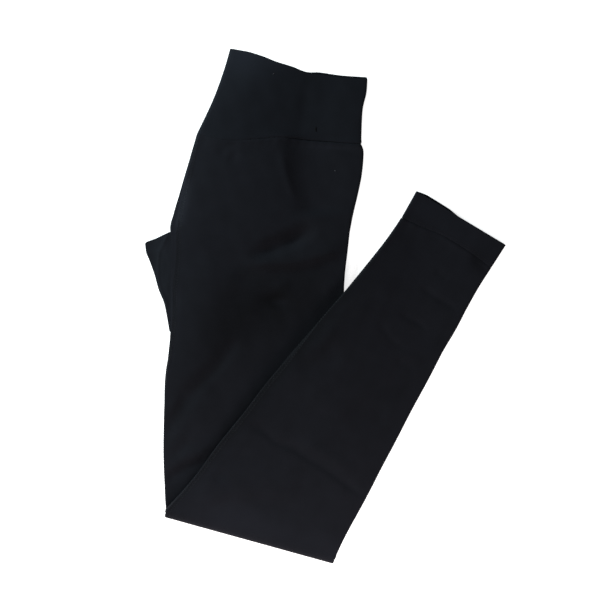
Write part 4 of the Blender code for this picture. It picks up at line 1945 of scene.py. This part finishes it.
@dataclass
class Gusset:
    """The crotch gusset, folded in half, which sticks out between the legs."""

    cut: Pair = (0.105, 0.06)
    cut_area: float = 0.0035
    cloth: float = 1.6
    tuck: float = 2.2
    drop: float = 3.1
    drop_zone: Pair = (1.5, 24.0)
    row_step: float = 1.3
    columns: int = 22
    tip_steps: int = 6
    relief_start: float = 3.0
    seam: Crease = Crease(
        (
            (-164.3, 74.5), (-170.6, 59.9), (-173.4, 55.0), (-174.6, 30.5),
            (-173.4, 24.0), (-170.6, 14.7), (-164.0, -2.0),
        ),
        1.5, 0.55, 0.0, 0.06,
    )
    unevenness: Unevenness = Unevenness(71, 0.12, 8.0, 30.0)

    def build(self) -> Thing:
        """Builds and dresses the gusset.

        Returns:
            The gusset.
        """
        row_y = evenly(GUSSET_REACH[0][0], GUSSET_REACH[-1][0], self.row_step)[::-1][:, None]
        half = self.cloth / 2.0
        tip = half - curve(GUSSET_REACH, row_y)
        turns = np.linspace(math.pi / 2.0, 0.0, self.tip_steps + 1)[None, :]
        tip_t = tip - half * np.sin(turns)
        tip_rise = np.broadcast_to(-half * np.cos(turns), tip_t.shape)
        flat_t = mix(tip, self.tuck, np.linspace(0.0, 1.0, self.columns + 1)[None, 1:])
        lower_t = np.concatenate([tip_t, flat_t], axis=1)
        lower_rise = np.concatenate([tip_rise, np.full(flat_t.shape, -half)], axis=1)
        t = np.concatenate([lower_t[:, ::-1], lower_t[:, 1:]], axis=1)
        rise = np.concatenate([lower_rise[:, ::-1], -lower_rise[:, 1:]], axis=1)
        x = curve(edge_of(THIGH_ROWS), row_y) + t
        y = np.broadcast_to(row_y, x.shape)
        height = self.seam.height(x, y) + self.unevenness.height(x, y)
        middle = PILE.stack / 2.0 - self.drop * smoothstep(*self.drop_zone, -t)
        z = middle + rise + np.where(rise > 0.0, height, 0.0) * smoothstep(0.0, self.relief_start, -t)
        grid = ClothGrid.laid(np.stack([x, y, z], axis=-1), -row_y[:, 0], 1, NO_ROWS)
        gusset = grid.sew("crotch_gusset_cloth")
        finish = KnitFinish("crotch_gusset_knit", GUSSET_BLACK_PAINTED_LIGHTER)
        dress(gusset, finish.material(), "crotch_gusset", "crotch_gusset")
        return gusset


class Speck(NamedTuple):
    """A short fibre on the cloth: its middle on the floor plan, length, bearing in radians and radius."""

    x: float
    y: float
    length: float
    bearing: float
    radius: float


@dataclass
class LooseFibres:
    """Fibres of one colour lying on the cloth, bent by a share of their length and half sunk into it."""

    name: str
    colour: Colour
    specks: tuple[Speck, ...]
    points: int = 5
    bend: float = 0.15
    clear: float = 0.5
    twist: float = 0.3
    roughness: float = 0.9

    def build(self) -> Thing:
        """Builds and dresses the fibres.

        Returns:
            The fibres.
        """
        paths = []
        share = np.linspace(-0.5, 0.5, self.points)
        for speck in self.specks:
            along = speck.length * share
            bend = self.bend * speck.length * np.cos(math.pi * share)
            x = speck.x + along * math.cos(speck.bearing) - bend * math.sin(speck.bearing)
            y = speck.y + along * math.sin(speck.bearing) + bend * math.cos(speck.bearing)
            z = PILE.stack + PILE.thigh_relief(x, y) + self.clear * speck.radius
            paths.append(np.stack([x, y, z], axis=-1))
        paths = np.array(paths)
        up = np.broadcast_to(np.array([0.0, 0.0, 1.0]), paths.shape)
        fibres = spin_threads(self.name, paths, up, self.specks[0].radius)
        finish = ThreadFinish(f"{self.name}_fibre", self.colour, twist=self.twist, roughness=self.roughness)
        return dress(fibres, finish.material(), "left_leg")


LINT = LooseFibres(
    "lint", (0.09, 0.09, 0.1), (Speck(-53.3, 242.0, 1.6, 0.7, 0.28), Speck(11.0, 140.7, 1.6, 2.6, 0.28))
)
# A near-black fibre where the waistband's side seam meets its seam to the leg, as a painted shadow of the
# small gap there.
SEAM_SHADOW_FIBRE = LooseFibres("seam_shadow_fibre", (0.0012, 0.0012, 0.0014), (Speck(-8.9, 184.0, 5.0, 1.5, 0.42),))


# Studio


COOL = (0.91, 1.08, 1.10)
WARM = (1.05, 0.97, 0.95)


@dataclass(frozen=True)
class SoftLight:
    """A square soft light."""

    name: str
    place: tuple[float, float, float]
    aim: tuple[float, float, float]
    size: float
    power: float
    colour: Colour

    def build(self) -> None:
        """Hangs the light."""
        data = bpy.data.lights.new(self.name, "AREA")
        data.shape = "SQUARE"
        data.size = self.size
        data.energy = self.power
        data.color = self.colour
        lamp = link(self.name, data)
        lamp.location = self.place
        lamp.visible_camera = False
        lamp.rotation_euler = (Vector(self.aim) - Vector(self.place)).to_track_quat("-Z", "Y").to_euler()


@dataclass
class Studio:
    """White floor, three soft lights, even ambient light and the camera straight above."""

    floor_size: float = 6.0
    floor_drop: float = 0.0002
    ambient: float = 0.18
    ambient_colour: tuple[float, float, float, float] = (0.96, 0.98, 1.0, 1.0)
    camera_place: tuple[float, float, float] = (-0.0231, 0.0026, 2.997)
    lens: float = 170.0
    sensor: float = 36.0
    view_range: float = 20.0
    lights: tuple[SoftLight, ...] = (
        SoftLight("key_light", (-0.88, 0.59, 0.35), (-0.05, 0.05, 0.0), 0.25, 15.5, COOL),
        SoftLight("second_light", (-0.24, -0.46, 0.3), (-0.04, -0.16, 0.0), 0.22, 1.45, WARM),
        SoftLight("third_light", (0.3, -0.5, 0.35), (0.04, -0.16, 0.0), 0.3, 2.7, WARM),
    )

    def build(self) -> None:
        """Builds the studio."""
        self.floor()
        for light in self.lights:
            light.build()
        self.surroundings()
        self.camera()

    def floor(self) -> None:
        """Lays the floor."""
        half = self.floor_size / 2.0
        corners = [(-half, -half), (half, -half), (half, half), (-half, half)]
        data = bpy.data.meshes.new("floor")
        data.from_pydata([(x, y, -self.floor_drop) for x, y in corners], [], [(0, 1, 2, 3)])
        data.materials.append(FloorFinish().material())
        link("floor", data)

    def surroundings(self) -> None:
        """Sets the even ambient light and the plain view."""
        world = bpy.data.worlds.new("studio")
        world.use_nodes = True
        backdrop = world.node_tree.nodes["Background"]
        backdrop.inputs["Color"].default_value = self.ambient_colour
        backdrop.inputs["Strength"].default_value = self.ambient
        bpy.context.scene.world = world
        bpy.context.scene.view_settings.view_transform = "Standard"

    def camera(self) -> None:
        """Sets the camera straight above the leggings, with +Y up in the picture."""
        data = bpy.data.cameras.new("camera")
        data.lens = self.lens
        data.sensor_width = self.sensor
        data.clip_end = self.view_range
        camera = link("camera", data)
        camera.location = self.camera_place
        bpy.context.scene.camera = camera


def main() -> None:
    """Builds the dressed leggings and the studio."""
    logging.basicConfig(level=logging.INFO, format="%(message)s")
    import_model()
    for piece in (
        LegPanel(Side.RIGHT),
        LegPanel(Side.LEFT),
        Waistband(),
        AnkleHem(side=Side.RIGHT),
        AnkleHem(side=Side.LEFT),
        Gusset(),
        LINT,
        SEAM_SHADOW_FIBRE,
    ):
        made = piece.build()
        LOG.info("%s: %d faces", made.name, len(made.data.polygons))
    Studio().build()


if __name__ == "__main__":
    main()
